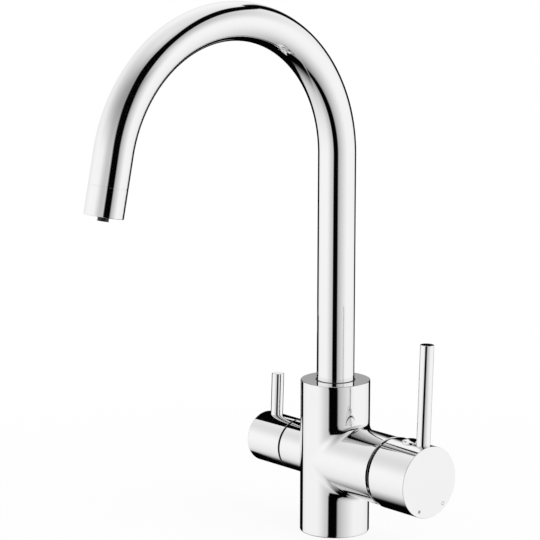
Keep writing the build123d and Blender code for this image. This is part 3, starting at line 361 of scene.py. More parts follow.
dark_plastic = moulded("black_moulded_plastic", (0.012, 0.012, 0.013), (0.022, 0.022, 0.023),
                       0.32, 1500.0, 0.02 * MM)
cartridge_plastic = moulded("white_moulded_plastic", (0.78, 0.77, 0.74), (0.70, 0.69, 0.66),
                            0.40, 900.0, 0.02 * MM)
tube_plastic = moulded("water_tube_plastic", (0.80, 0.80, 0.78), (0.72, 0.73, 0.72),
                       0.30, 500.0, 0.01 * MM)
rubber = moulded("seal_rubber", (0.020, 0.020, 0.021), (0.035, 0.034, 0.034),
                 0.55, 1200.0, 0.03 * MM)
ceramic = moulded("fired_ceramic", (0.86, 0.85, 0.81), (0.80, 0.79, 0.75),
                  0.18, 2500.0, 0.004 * MM)
for material in (dark_plastic, cartridge_plastic, tube_plastic, rubber, ceramic):
    print("moulded material:", material.name)

# %% [markdown]
# ## Turning a shape on a lathe
#
# Most of the tap is turned. In Blender that is a profile, drawn as a chain of vertices beside
# an axis, and the spin operator, which carries the chain round it. The profile's corners are
# broken by small arcs, because a chrome edge without one has no glint. Smooth shading alone
# would bend the reflections in a long straight wall next to such an arc, so a Weighted Normal
# modifier lets the large faces decide, and corners over 30 degrees are marked sharp.

# %% The lathe
ROUND_STEPS = 160
EDGE_STEPS = 6
SHARP_ANGLE = math.radians(30.0)
SAME_PLACE = 0.002 * MM

MIXER_AXIS = Matrix.Translation((0, 0, CROSS_HEIGHT)) @ Matrix.Rotation(math.radians(90), 4, "Y")
FILTER_AXIS = Matrix.Translation((0, 0, CROSS_HEIGHT)) @ Matrix.Rotation(math.radians(-90), 4, "Y")
LEAN = (Matrix.Translation((0, 0, CROSS_HEIGHT)) @ Matrix.Rotation(-LEVER_LEAN, 4, "X")
        @ Matrix.Translation((0, 0, -CROSS_HEIGHT)))


def corner_arc(before, corner, after, radius):
    """The points that round a profile's corner, from one side to the other."""
    corner = Vector(corner)
    back = (Vector(before) - corner).normalized()
    on = (Vector(after) - corner).normalized()
    half = back.angle(on) / 2
    middle = corner + (back + on).normalized() * radius / math.sin(half)
    start = (corner + back * radius / math.tan(half) - middle).normalized()
    end = (corner + on * radius / math.tan(half) - middle).normalized()
    return [tuple(middle + start.slerp(end, step / EDGE_STEPS) * radius)
            for step in range(EDGE_STEPS + 1)]


def profile(points):
    """A profile's points, each (radius, height) or (radius, height, edge radius)."""
    places = [point[:2] for point in points]
    chain = []
    for index, point in enumerate(points):
        if len(point) == 3:
            after = places[(index + 1) % len(points)]
            chain += corner_arc(places[index - 1], point[:2], after, point[2])
        else:
            chain.append(point)
    return chain


def lathe(points, place, steps=ROUND_STEPS):
    """A closed profile carried round the Z axis, and then to its place."""
    shape = bmesh.new()
    chain = [shape.verts.new((radius, 0, height)) for radius, height in profile(points)]
    edges = [shape.edges.new((a, b)) for a, b in zip(chain, chain[1:] + chain[:1])
             if a.co.x > SAME_PLACE or b.co.x > SAME_PLACE]
    bmesh.ops.spin(shape, geom=chain + edges, cent=(0, 0, 0), axis=(0, 0, 1), dvec=(0, 0, 0),
                   angle=math.tau, steps=steps, use_merge=True)
    bmesh.ops.transform(shape, matrix=place, verts=shape.verts)
    return shape


def mesh_object(name, mesh_name, shape, finish):
    """An object of the scene with the shape as its mesh."""
    mesh = bpy.data.meshes.new(mesh_name)
    shape.to_mesh(mesh)
    shape.free()
    mesh.materials.append(finish)
    piece = bpy.data.objects.new(name, mesh)
    bpy.context.scene.collection.objects.link(piece)
    return piece


def finish_piece(name, shape, body, finish):
    """Makes the shape an object with its finish, which stands for the CAD node of that name."""
    bmesh.ops.remove_doubles(shape, verts=shape.verts, dist=SAME_PLACE)
    bmesh.ops.recalc_face_normals(shape, faces=shape.faces)
    for edge in shape.edges:
        edge.smooth = edge.calc_face_angle(0.0) < SHARP_ANGLE
    for face in shape.faces:
        face.smooth = True
    piece = mesh_object("shown_" + name, name, shape, finish)
    weighted = piece.modifiers.new("even_normals", "WEIGHTED_NORMAL")
    weighted.keep_sharp = True
    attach(piece, body)
    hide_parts(name)
    print(name, "has", len(piece.data.polygons), "faces")


print("one turn of the lathe has", ROUND_STEPS, "steps")

# %% [markdown]
# ## The mixer handle
#
# A chromed cap hides the cartridge. It is a deep cup with a hub inside, so its profile runs
# down the hub, across the floor of the cup, out along the wall, round the rim and back over
# the outside to the middle of the face. Its lever is a plain pin that leans back by two
# degrees, and a domed plug behind the pin hides the screw that clamps the handle.

# %% Cap, lever pin and screw plug
CAP_RADIUS = 25.5 * MM
CAP_START = 62.5 * MM
CAP_BORE = 24.0 * MM
CAP_INSIDE = 94.5 * MM
CAP_EDGE = 0.4 * MM
HUB_RADIUS = 9.0 * MM
HUB_START = 70.56 * MM
LEVER_RADIUS = 4.88 * MM
LEVER_X = 89.64 * MM
LEVER_ROOT = 10.0 * MM
LEVER_REACH = 96.4 * MM
LEVER_EDGE = 0.25 * MM
PLUG_RADIUS = 6.6 * MM
PLUG_X = 78.0 * MM
PLUG_SEAT = 24.2 * MM
PLUG_TOP = 27.7 * MM
CAP_STEPS = 224
PIN_STEPS = 96
PLUG_ARC_STEPS = 12


def pin(radius, root, tip, x):
    """A lever pin with a broken edge, standing on a handle at x and leaning with it."""
    points = [(0, root), (radius, root), (radius, tip, LEVER_EDGE), (0, tip)]
    return lathe(points, LEAN @ Matrix.Translation((x, 0, CROSS_HEIGHT)), PIN_STEPS)


def domed_plug():
    """A short rod whose top is part of a ball."""
    rim = (PLUG_SEAT + PLUG_TOP) / 2
    crown = PLUG_TOP - rim
    ball = (PLUG_RADIUS ** 2 + crown ** 2) / (2 * crown)
    spread = math.asin(PLUG_RADIUS / ball)
    turns = [spread * (1 - step / PLUG_ARC_STEPS) for step in range(PLUG_ARC_STEPS + 1)]
    dome = [(ball * math.sin(turn), PLUG_TOP - ball + ball * math.cos(turn)) for turn in turns]
    points = [(0, PLUG_SEAT), (PLUG_RADIUS, PLUG_SEAT)] + dome
    return lathe(points, LEAN @ Matrix.Translation((PLUG_X, 0, CROSS_HEIGHT)), PIN_STEPS)


cap = lathe([
    (0, HUB_START), (HUB_RADIUS, HUB_START), (HUB_RADIUS, CAP_INSIDE), (CAP_BORE, CAP_INSIDE),
    (CAP_BORE, CAP_START, CAP_EDGE), (CAP_RADIUS, CAP_START, CAP_EDGE), (CAP_RADIUS, CAP_FACE, CAP_EDGE),
    (0, CAP_FACE),
], LEAN @ MIXER_AXIS, CAP_STEPS)
finish_piece("mixer_handle_cap", cap, "mixer_lever", chrome_with_marks)
lever_pin = pin(LEVER_RADIUS, LEVER_ROOT, LEVER_REACH, LEVER_X)
finish_piece("mixer_lever_pin", lever_pin, "mixer_lever", chrome_plate)
finish_piece("mixer_screw_plug", domed_plug(), "mixer_lever", chrome_plate)

# %% [markdown]
# ## The filter knob
#
# The knob is the cap's smaller cousin on the other side, with a shorter pin. It is turned in
# the same way, on an axis that points along -X.

# %% Knob and its pin
KNOB_START = 41.1 * MM
KNOB_END = 75.1 * MM
KNOB_BORE = 16.8 * MM
KNOB_INSIDE = 72.6 * MM
KNOB_EDGE = 0.5 * MM
KNOB_HUB_RADIUS = 8.0 * MM
KNOB_HUB_START = 45.94 * MM
FILTER_PIN_RADIUS = 4.5 * MM
FILTER_PIN_X = -64.3 * MM
FILTER_PIN_ROOT = 6.5 * MM
FILTER_PIN_REACH = 49.0 * MM
KNOB_STEPS = 192

knob = lathe([
    (0, KNOB_HUB_START), (KNOB_HUB_RADIUS, KNOB_HUB_START), (KNOB_HUB_RADIUS, KNOB_INSIDE),
    (KNOB_BORE, KNOB_INSIDE), (KNOB_BORE, KNOB_START, KNOB_EDGE), (FILTER_RADIUS, KNOB_START, KNOB_EDGE),
    (FILTER_RADIUS, KNOB_END, KNOB_EDGE), (0, KNOB_END),
], LEAN @ FILTER_AXIS, KNOB_STEPS)
# The knob's chrome has painted shade on its rear rim, in the gap at the branch.
finish_piece("filter_knob", knob, "filter_handle", knob_chrome_with_painted_shade)
filter_pin = pin(FILTER_PIN_RADIUS, FILTER_PIN_ROOT, FILTER_PIN_REACH, FILTER_PIN_X)
finish_piece("filter_lever_pin", filter_pin, "filter_handle", chrome_plate)

# %% [markdown]
# ## The dome behind the cap
#
# The cap tilts on a pin inside the branch, so the ring that closes the gap has a ball-shaped
# front, centred on that pin. The ball keeps the same distance from the cap's rim at every
# tilt. It is turned too, with an arc of short steps for the ball.

# %% Dome cover
PIVOT = 38.9 * MM
DOME_RADIUS = 22.4 * MM
DOME_WALL = 1.6 * MM
DOME_SEAT = 56.4 * MM
DOME_CLEARANCE = 2.6 * MM
DOME_BALL = math.hypot(CAP_START - PIVOT, CAP_BORE) - DOME_CLEARANCE
DOME_STEPS = 20
CAP_TILT = math.radians(25.0)
STEM_CLEARING = 4.35 * MM
inside_ball = DOME_BALL - DOME_WALL
mouth = CAP_TILT + math.asin(STEM_CLEARING / inside_ball)


def ball_arc(ball, radius):
    """Points on a ball round the tilt pin, from the rim of that radius in to the mouth."""
    rim = math.asin(radius / ball)
    turns = [rim + (mouth - rim) * step / DOME_STEPS for step in range(DOME_STEPS + 1)]
    return [(ball * math.sin(turn), PIVOT + ball * math.cos(turn)) for turn in turns]


outside = ball_arc(DOME_BALL, DOME_RADIUS)
inside = ball_arc(inside_ball, DOME_RADIUS - DOME_WALL)
seat = [(DOME_RADIUS - DOME_WALL, DOME_SEAT), (DOME_RADIUS, DOME_SEAT)]
dome = lathe(seat + outside + inside[::-1], MIXER_AXIS)
# The dome's chrome has painted shade towards its rim, in the gap behind the cap.
finish_piece("dome_cover", dome, "tap_body", dome_chrome_with_painted_shade)

# %% [markdown]
# ## The swan neck
#
# The real spout is one bent tube. A curve with a round bevel would do, but its rings are hard
# to steer. Here a circle is extruded up the riser, spun about the arch's centre, and extruded
# again down the outlet. The bore is the same shape on a smaller circle, and the two are joined
# at both ends, which leaves a tube with a true wall.

# %% Spout tube
TUBE_STEPS = 120
ARCH_STEPS = 116
RISER_STEPS = 24
OUTLET_STEPS = 4
outlet_way = Vector((0, -math.sin(ARCH_ANGLE), math.cos(ARCH_ANGLE)))
arch_end = Vector((0, ARCH_RADIUS * (math.cos(ARCH_ANGLE) - 1),
                   RISER_TOP + ARCH_RADIUS * math.sin(ARCH_ANGLE)))
tip = arch_end + outlet_way * OUTLET_RUN


def grown_ring(shape, ring):
    """Extrudes a ring of edges, and gives the new ring's vertices and edges."""
    grown = bmesh.ops.extrude_edge_only(shape, edges=ring)["geom"]
    verts = [part for part in grown if isinstance(part, bmesh.types.BMVert)]
    return verts, [part for part in grown if isinstance(part, bmesh.types.BMEdge)
                   and all(vert in verts for vert in part.verts)]


def edges_of(verts):
    """The edges of a circle of vertices, each once and in a fixed order."""
    return list(dict.fromkeys(edge for vert in verts for edge in vert.link_edges))


def pushed(shape, ring, move, steps=1):
    """Extrudes a ring of edges by a move, in steps, and gives the last ring."""
    for _ in range(steps):
        verts, ring = grown_ring(shape, ring)
        bmesh.ops.translate(shape, verts=verts, vec=move / steps)
    return ring


def bent(shape, ring):
    """Spins a ring of edges about the arch's centre and gives the last ring."""
    spun = bmesh.ops.spin(shape, geom=ring, cent=(0, -ARCH_RADIUS, RISER_TOP), axis=(1, 0, 0),
                          dvec=(0, 0, 0), angle=ARCH_ANGLE, steps=ARCH_STEPS, use_merge=False)
    return [part for part in spun["geom_last"] if isinstance(part, bmesh.types.BMEdge)]


def swan_neck(shape, radius, last_move):
    """One skin of the tube, and the rings at its two ends."""
    start = bmesh.ops.create_circle(shape, segments=TUBE_STEPS, radius=radius,
                                    matrix=Matrix.Translation((0, 0, SPOUT_START)))["verts"]
    first = edges_of(start)
    ring = pushed(shape, first, Vector((0, 0, RISER_TOP - SPOUT_START)), RISER_STEPS)
    ring = pushed(shape, bent(shape, ring), last_move, OUTLET_STEPS)
    return first, ring


tube = bmesh.new()
run = OUTLET_RUN - END_RING_LENGTH
outer_start, outer_end = swan_neck(tube, SPOUT_RADIUS, outlet_way * (run - SEAM_CHAMFER))
inner_start, inner_end = swan_neck(tube, SPOUT_BORE, outlet_way * run)
seam = pushed(tube, outer_end, outlet_way * SEAM_CHAMFER)
seam_verts = list(dict.fromkeys(vert for edge in seam for vert in edge.verts))
seam_middle = tip - outlet_way * END_RING_LENGTH
smaller = (SPOUT_RADIUS - SEAM_CHAMFER) / SPOUT_RADIUS
bmesh.ops.scale(tube, verts=seam_verts, vec=(smaller,) * 3, space=Matrix.Translation(-seam_middle))
bmesh.ops.bridge_loops(tube, edges=outer_start + inner_start)
bmesh.ops.bridge_loops(tube, edges=seam + inner_end)
finish_piece("spout_tube", tube, "spout", chrome_plate)

# %% [markdown]
# ## The ring at the tip
#
# A separate chromed ring holds the aerator. Only a hairline shows where it meets the tube,
# because both edges there are broken by a fifth of a millimetre. It is turned standing on its
# tip and then carried to the end of the spout.

# %% End ring
RING_BORE = 12.1 * MM
RING_SHOULDER = 10.9 * MM
RING_SPIGOT = 12.16 * MM
SPIGOT_END = 27.0 * MM
SHOULDER_HEIGHT = 12.0 * MM
RING_EDGE = 0.5 * MM
INSIDE_EDGE = 0.2 * MM
at_tip = Matrix.Translation(tip) @ Matrix.Rotation(ARCH_ANGLE - math.pi, 4, "X")

end_ring = lathe([
    (SPOUT_RADIUS, 0, RING_EDGE), (SPOUT_RADIUS, END_RING_LENGTH - SEAM_CHAMFER),
    (SPOUT_RADIUS - SEAM_CHAMFER, END_RING_LENGTH), (RING_SPIGOT, END_RING_LENGTH),
    (RING_SPIGOT, SPIGOT_END), (RING_SHOULDER, SPIGOT_END), (RING_SHOULDER, SHOULDER_HEIGHT),
    (RING_BORE, SHOULDER_HEIGHT), (RING_BORE, 0, INSIDE_EDGE),
], at_tip, TUBE_STEPS)
finish_piece("spout_end_ring", end_ring, "spout", chrome_plate)
print("the tip is", round(tip.z / MM, 1), "mm high")

# %% [markdown]
# ## The body, where its branches meet the column
#
# The body is one casting: the branches grow out of the column with a soft fillet, and in
# chrome that fillet is what the eye follows. The bevel operator gives a fillet whose width
# wanders where the two cylinders are almost level with each other, so this strip is worked
# out: a ball that touches both cylinders rolls round the corner, and the fillet is the part of
# the ball between its two points of contact. On the mixer branch the ball's radius grows from
# 4 mm at the top and bottom to 14 mm at the sides. Between the fillet and a frame of straight lines
# the column is a patch of its own cylinder. Everything else is extruded from the edges of
# these patches, ring by ring.

# %% Fillets and patches
RING_TURN = math.radians(2.8125)
MIXER_HALF = 39
FILTER_HALF = 25
SIDE_STEPS = 44
PATCH_STEPS = 14
FILLET_STEPS = 12
BRANCH_STEPS = 14
TOP_HEIGHT = BODY_HEIGHT - BODY_TOP_EDGE
HALVINGS = 40
AT_TOP = 1e-9


class Corner:
    """The corner between the column and one branch: sizes and the rolling ball's place."""

    def __init__(self, side, branch, fillet, spread, half_steps, end):
        self.side = side
        self.branch = branch
        self.fillet = fillet
        self.spread = spread
        self.half_steps = half_steps
        self.end = end

    def size(self, turn):
        """The ball's radius, at a turn round the branch from its top."""
        return self.fillet + self.spread * math.sin(turn) ** 2

    def ball(self, turn):
        """Where the ball's centre is at that turn."""
        y = (self.branch + self.size(turn)) * math.sin(turn)
        rise = (self.branch + self.size(turn)) * math.cos(turn)
        return Vector((math.sqrt((BODY_RADIUS + self.size(turn)) ** 2 - y ** 2), y, rise))

    def contacts(self, turn):
        """The ball's points of contact with the column and with the branch."""
        centre = self.ball(turn)
        on_column = BODY_RADIUS / (BODY_RADIUS + self.size(turn))
        on_branch = self.branch / (self.branch + self.size(turn))
        return (Vector((centre.x * on_column, centre.y * on_column, centre.z)),
                Vector((centre.x, centre.y * on_branch, centre.z * on_branch)))

    def flat(self, turn):
        """The contact on the column, unrolled: its angle round the column and its rise."""
        point = self.contacts(turn)[0]
        return math.atan2(point.y, point.x), point.z

    def place(self, point):
        """A point of this corner in the frame."""
        return Vector((self.side * point.x, point.y, CROSS_HEIGHT + point.z))


def frame_points(corner):
    """The patch's straight frame, unrolled, from the top middle and once round."""
    top, bottom = TOP_HEIGHT - CROSS_HEIGHT, BODY_FOOT_EDGE - CROSS_HEIGHT
    half = corner.half_steps
    across = [step * RING_TURN for step in range(-half, half + 1)]
    down = [top + (bottom - top) * step / SIDE_STEPS for step in range(1, SIDE_STEPS)]
    right = [(across[-1], rise) for rise in down]
    left = [(across[0], rise) for rise in reversed(down)]
    upper = [(angle, top) for angle in across]
    lower = [(angle, bottom) for angle in reversed(across)]
    return upper[half:] + right + lower + left + upper[:half]


def turn_facing(corner, angle, rise):
    """The turn whose contact on the column lies in the direction of a point of the frame."""
    wanted = math.atan2(BODY_RADIUS * angle, rise) % math.tau
    low_turn, high_turn = 0.0, math.tau
    for _ in range(HALVINGS):
        middle = (low_turn + high_turn) / 2
        loop_angle, loop_rise = corner.flat(middle)
        if math.atan2(BODY_RADIUS * loop_angle, loop_rise) % math.tau < wanted:
            low_turn = middle
        else:
            high_turn = middle
    return (low_turn + high_turn) / 2 if wanted > AT_TOP else 0.0


def weave(shape, rows):
    """Faces between rows of points that each run once round."""
    rings = [[shape.verts.new(point) for point in row] for row in rows]
    for first, second in zip(rings, rings[1:]):
        for index in range(len(first)):
            after = (index + 1) % len(first)
            shape.faces.new((first[index], first[after], second[after], second[index]))


def corner_rows(corner):
    """Rows of points from the patch's frame over the fillet to the straight end of the branch."""
    outline = frame_points(corner)
    turns = [turn_facing(corner, angle, rise) for angle, rise in outline]
    loops = [corner.flat(turn) for turn in turns]
    rows = []
    for step in range(PATCH_STEPS):
        share = step / PATCH_STEPS
        row = []
        for (angle, rise), (loop_angle, loop_rise) in zip(outline, loops):
            around = angle + (loop_angle - angle) * share
            up = rise + (loop_rise - rise) * share
            row.append(Vector((BODY_RADIUS * math.cos(around), BODY_RADIUS * math.sin(around), up)))
        rows.append(row)
    for step in range(FILLET_STEPS + 1):
        row = []
        for turn in turns:
            centre = corner.ball(turn)
            on_column, on_branch = [(contact - centre).normalized() for contact in corner.contacts(turn)]
            row.append(centre + on_column.slerp(on_branch, step / FILLET_STEPS) * corner.size(turn))
        rows.append(row)
    start = rows[-1]
    straight = corner.end - RIM_EDGE
    for step in range(1, BRANCH_STEPS + 1):
        share = step / BRANCH_STEPS
        rows.append([Vector((point.x + (straight - point.x) * share, point.y, point.z))
                     for point in start])
    return [[corner.place(point) for point in row] for row in rows]


mixer_corner = Corner(1, BRANCH_RADIUS, BRANCH_FILLET, BRANCH_SPREAD, MIXER_HALF, BRANCH_END)
filter_corner = Corner(-1, FILTER_RADIUS, FILTER_FILLET, 0, FILTER_HALF, FILTER_END)
body = bmesh.new()
for corner in (mixer_corner, filter_corner):
    weave(body, corner_rows(corner))
bmesh.ops.remove_doubles(body, verts=body.verts, dist=SAME_PLACE)
print("the two blends have", len(body.faces), "faces")

# %% [markdown]
# ## The body's rims, seats and underside
#
# A ring of edges can be extruded and its new vertices carried to another radius and height.
# Repeated along a profile, that makes rims, counterbores and bores that share every vertex
# with the patches. The underside is a flat face with holes for the hoses and the studs, which
# the triangle fill makes from the outline and the circles.

# %% Rims, seats and underside
def rings_on(shape, ring, axis, points):
    """Extrudes a ring of edges along a profile of (radius, height) about an axis."""
    to_axis = axis.inverted()
    for radius, height in points:
        verts, ring = grown_ring(shape, ring)
        for vert in verts:
            local = to_axis @ vert.co
            flat = Vector((local.x, local.y)).normalized() * radius
            vert.co = axis @ Vector((flat.x, flat.y, height))
    return ring


def edges_at(shape, axis, value):
    """The open edges that lie at one value along an axis: 0 for X and 2 for Z."""
    return [edge for edge in shape.edges if edge.is_boundary
            and all(abs(vert.co[axis] - value) < SAME_PLACE for vert in edge.verts)]


def in_mm(rows):
    """Rows of sizes in millimetres, turned into metres."""
    return [tuple(value * MM for value in row) for row in rows]


def closed_ring(shape, ring):
    """Closes a ring with one flat face."""
    bmesh.ops.contextual_create(shape, geom=ring)


def filled(shape, edges, normal):
    """Fills the space between an outline and the circles inside it with triangles."""
    bmesh.ops.triangle_fill(shape, use_beauty=True, use_dissolve=False, edges=edges, normal=normal)


MIXER_BORE = in_mm([(22.44, 58.9), (22.44, 56.4), (19.44, 56.4), (19.44, 47.06), (17.54, 47.06),
                    (17.54, 13.0)])
FILTER_BORE = in_mm([(14.0, 39.9), (14.0, 34.0), (10.0, 34.0), (10.0, 13.0)])
SOCKET = in_mm([(14.37, 111.3), (14.37, 109.3), (13.68, 109.3), (13.68, 84.0), (10.0, 84.0), (10.0, 78.0),
                (6.5, 78.0), (6.5, 97.0), (5.7, 97.0), (5.7, 95.0), (4.08, 95.0), (4.08, 88.0)])
SEAL_GROOVE = in_mm([(22.7, 0.0), (22.7, 2.0), (20.3, 2.0), (20.3, 0.0)])
HOLES = in_mm([(7.0, 8.0, 4.6, 12.0), (7.0, -8.0, 4.6, 12.0), (-7.0, 0.0, 4.6, 12.0),
               (-3.0, 14.7, 3.4, 15.0), (-3.0, -14.7, 3.4, 15.0)])
HOLE_STEPS = 64

mixer_rim = edges_at(body, 0, BRANCH_END - RIM_EDGE)
filter_rim = edges_at(body, 0, RIM_EDGE - FILTER_END)
mixer_bore = [(BRANCH_RADIUS - RIM_EDGE, BRANCH_END)] + MIXER_BORE
filter_bore = [(FILTER_RADIUS - RIM_EDGE, FILTER_END)] + FILTER_BORE
closed_ring(body, rings_on(body, mixer_rim, MIXER_AXIS, mixer_bore))
closed_ring(body, rings_on(body, filter_rim, FILTER_AXIS, filter_bore))

UPRIGHT = Matrix.Identity(4)
quarter = [math.radians(90) * step / EDGE_STEPS for step in range(1, EDGE_STEPS + 1)]
top_arc = [(BODY_RADIUS - BODY_TOP_EDGE * (1 - math.cos(turn)),
            TOP_HEIGHT + BODY_TOP_EDGE * math.sin(turn)) for turn in quarter]
closed_ring(body, rings_on(body, edges_at(body, 2, TOP_HEIGHT), UPRIGHT, top_arc + SOCKET))

foot_arc = [(BODY_RADIUS - BODY_FOOT_EDGE * (1 - math.cos(turn)),
             BODY_FOOT_EDGE * (1 - math.sin(turn))) for turn in quarter]
outline = rings_on(body, edges_at(body, 2, BODY_FOOT_EDGE), UPRIGHT, foot_arc + SEAL_GROOVE)

circles = []
for x, y, radius, depth in HOLES:
    centre = Matrix.Translation((x, y, 0))
    verts = bmesh.ops.create_circle(body, segments=HOLE_STEPS, radius=radius, matrix=centre)["verts"]
    circles.append((edges_of(verts), depth))
filled(body, outline + [edge for circle, depth in circles for edge in circle], (0, 0, -1))
for circle, depth in circles:
    closed_ring(body, pushed(body, circle, Vector((0, 0, depth))))
print("the body has", len(body.faces), "faces before its screw hole")

# %% [markdown]
# ## The screw hole at the back
#
# A grub screw at the back of the column keeps the spout in. Its hole is opened in the patch:
# the faces round it go, a circle is laid on the column's cylinder, and the gap between the two
# is filled with triangles whose corners all lie on the cylinder.

# %% Screw hole
SCREW_BORE = 2.54 * MM
SCREW_CLEARING = 4.6 * MM
SCREW_DEPTH = 10.0 * MM
SCREW_STEPS = 40
screw_foot, screw_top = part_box("spout_retaining_screw")
hole_middle = Vector((0, BODY_RADIUS, (screw_foot.z + screw_top.z) / 2))
near = [face for face in body.faces
        if (face.calc_center_median() - hole_middle).length < SCREW_CLEARING]
rim_before = {edge for edge in body.edges if edge.is_boundary}
bmesh.ops.delete(body, geom=near, context="FACES")
clearing = [edge for edge in body.edges if edge.is_boundary and edge not in rim_before]
facing_back = Matrix.Translation(hole_middle) @ Matrix.Rotation(math.radians(90), 4, "X")
hole = bmesh.ops.create_circle(body, segments=SCREW_STEPS, radius=SCREW_BORE,
                               matrix=facing_back)["verts"]
for vert in hole:
    vert.co.y = math.sqrt(BODY_RADIUS ** 2 - vert.co.x ** 2)
hole_rim = edges_of(hole)
filled(body, clearing + hole_rim, (0, 1, 0))
closed_ring(body, pushed(body, hole_rim, Vector((0, -SCREW_DEPTH, 0))))
finish_piece("body_casting", body, "tap_body", chrome_plate)

# %% [markdown]
# ## Finishes for the pieces that keep their solid's mesh
#
# The seals, the cartridge, the valve and the outlet's parts are good as they come. Each gets
# the finish that it has on the real tap, by way of its object's material slots.

# %% Finishes by piece
FINISHES = {
    brass: ("spout_foot", "cartridge_nut", "filter_valve_body", "filter_spindle", "nozzle_adapter"),
    steel: ("spout_retaining_screw", "tilt_pin", "mixer_stem", "mixer_set_screw", "filter_set_screw",
            "filter_spindle_clip", "aerator_screen"),
    rubber: ("base_seal", "inner_tube_oring", "cartridge_port_seals", "filter_seat_seal",
             "filter_valve_oring", "spout_orings", "aerator_seal", "filter_spindle_orings"),
    ceramic: ("fixed_ceramic_disc", "moving_ceramic_disc", "filter_fixed_disc", "filter_moving_disc"),
    cartridge_plastic: ("cartridge_base", "cartridge_housing", "cartridge_carrier", "disc_driver",
                        "spout_thrust_washer"),
    dark_plastic: ("spout_glide_ring", "aerator_cup", "filtered_water_nozzle"),
    tube_plastic: ("inner_water_tube",),
}
for finish, names in FINISHES.items():
    for name in names:
        for material_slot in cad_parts[name].material_slots:
            material_slot.material = finish
finished = sum(len(names) for names in FINISHES.values())
print(finished, "pieces keep their mesh and", len(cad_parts) - finished, "have a finer one")

# %% [markdown]
# ## The floor
#
# The tap stands on a plain pale floor that fades into the background, and keeps its soft
# shadow. Chrome shows its surroundings, so a floor that the chrome could see would fill the
# lower half of every reflection. In the studio the light comes from below too, so the floor
# is hidden from glossy rays and the world below the horizon takes its place.

# %% Floor
FLOOR_SIZE = 12.0
FLOOR_DROP = 0.05 * MM
SHADOW_START = 0.05
SHADOW_REACH = 0.55
FLOOR_GREY = 0.9
FLOOR_GLOW = 0.9
floor_material, recipe, place = new_material("pale_floor")
from_tap = recipe.number("ShaderNodeVectorMath", "Value", {"operation": "LENGTH"}, {0: place})
camera_ray = recipe.number("ShaderNodeLightPath", "Is Camera Ray")
far = recipe.smooth_step(from_tap, SHADOW_START, SHADOW_REACH)
fade = camera_ray * (FLOOR_GLOW + (1 - FLOOR_GLOW) * far)
matt = recipe.node("ShaderNodeBsdfDiffuse", None, {"Color": grey(FLOOR_GREY)})
glow = recipe.node("ShaderNodeEmission", None, {"Color": grey(1.0), "Strength": 1.0})
both = recipe.node("ShaderNodeMixShader", None, {0: fade, 1: matt.outputs[0], 2: glow.outputs[0]})
recipe.node("ShaderNodeOutputMaterial", None, {"Surface": both.outputs[0]})

ground = bmesh.new()
bmesh.ops.create_grid(ground, x_segments=2, y_segments=2, size=FLOOR_SIZE / 2)
bmesh.ops.translate(ground, verts=ground.verts, vec=(0, 0, -FLOOR_DROP))
floor = mesh_object("floor", "floor", ground, floor_material)
floor.visible_glossy = False
print("floor of", FLOOR_SIZE, "m")

# %% [markdown]
# ## The camera
#
# The camera stands where the photograph was taken from: a long lens, a little above the tap
# and to its right, and held almost level.

# %% Camera
CAMERA_TURN = math.radians(48.874)
CAMERA_RISE = math.radians(11.111)
CAMERA_ROLL = math.radians(0.144)
CAMERA_DISTANCE = 1.9117
LOOK_OUT = -47.1 * MM
LOOK_HEIGHT = 190.8 * MM
LENS = 179.27
RIGHT = Vector((math.cos(CAMERA_TURN), math.sin(CAMERA_TURN), 0))
FRONT = Vector((math.sin(CAMERA_TURN), -math.cos(CAMERA_TURN), 0))
UP = Vector((0, 0, 1))
back = FRONT * math.cos(CAMERA_RISE) + UP * math.sin(CAMERA_RISE)
aim = RIGHT * LOOK_OUT + UP * LOOK_HEIGHT
camera_data = bpy.data.cameras.new("camera")
camera_data.lens = LENS
camera_data.sensor_width = 36.0
camera_data.clip_start = 0.05
camera = bpy.data.objects.new("camera", camera_data)
facing = back.to_track_quat("Z", "Y").to_matrix().to_4x4() @ Matrix.Rotation(CAMERA_ROLL, 4, "Z")
camera.matrix_world = Matrix.Translation(aim + back * CAMERA_DISTANCE) @ facing
bpy.context.scene.collection.objects.link(camera)
bpy.context.scene.camera = camera
print("camera", CAMERA_DISTANCE, "m away")

# %% [markdown]
# ## The studio that the chrome shows
#
# Chrome has no look of its own: it shows the room. The room here is a product studio, written
# as a formula of the direction. Softboxes stand all round, a little weaker behind, and a grey
# screen stands to the left of the camera. The ceiling is dim over the camera and bright at the
# back, and the light from below falls off with a power of the cosine down to black, which
# draws the undersides. The formula is only for glossy rays. The camera sees plain white behind
# the tap, and everything that scatters light gets an even daylight, so colours come out as
# written.

# %% World
DAYLIGHT = 0.8
CHROME_SHARE = 0.9
SOFTBOX = 0.9
BACK_FALL = 0.1
BACK_CORNERS = (100, 150)
SCREEN_DEPTH = 0.35
SCREEN_LEFT = (-65, -20)
SCREEN_RIGHT = (-10, 10)
CEILING = 0.6
CEILING_SWING = 0.3
CEILING_RISE = (5, 40)
OVERHEAD = 0.75
OVERHEAD_RISE = (45, 85)
BELOW_POWER = 0.35
IN_DEGREES = 180 / math.pi

world = bpy.data.worlds.new("studio")
bpy.context.scene.world = world
world.use_nodes = True
recipe = Recipe(world.node_tree)
way = recipe.node("ShaderNodeTexCoord").outputs["Generated"]


def part_along(axis):
    """How far the ray's direction goes along an axis of the studio."""
    product = {"operation": "DOT_PRODUCT"}
    return recipe.number("ShaderNodeVectorMath", "Value", product, {0: way, 1: axis})


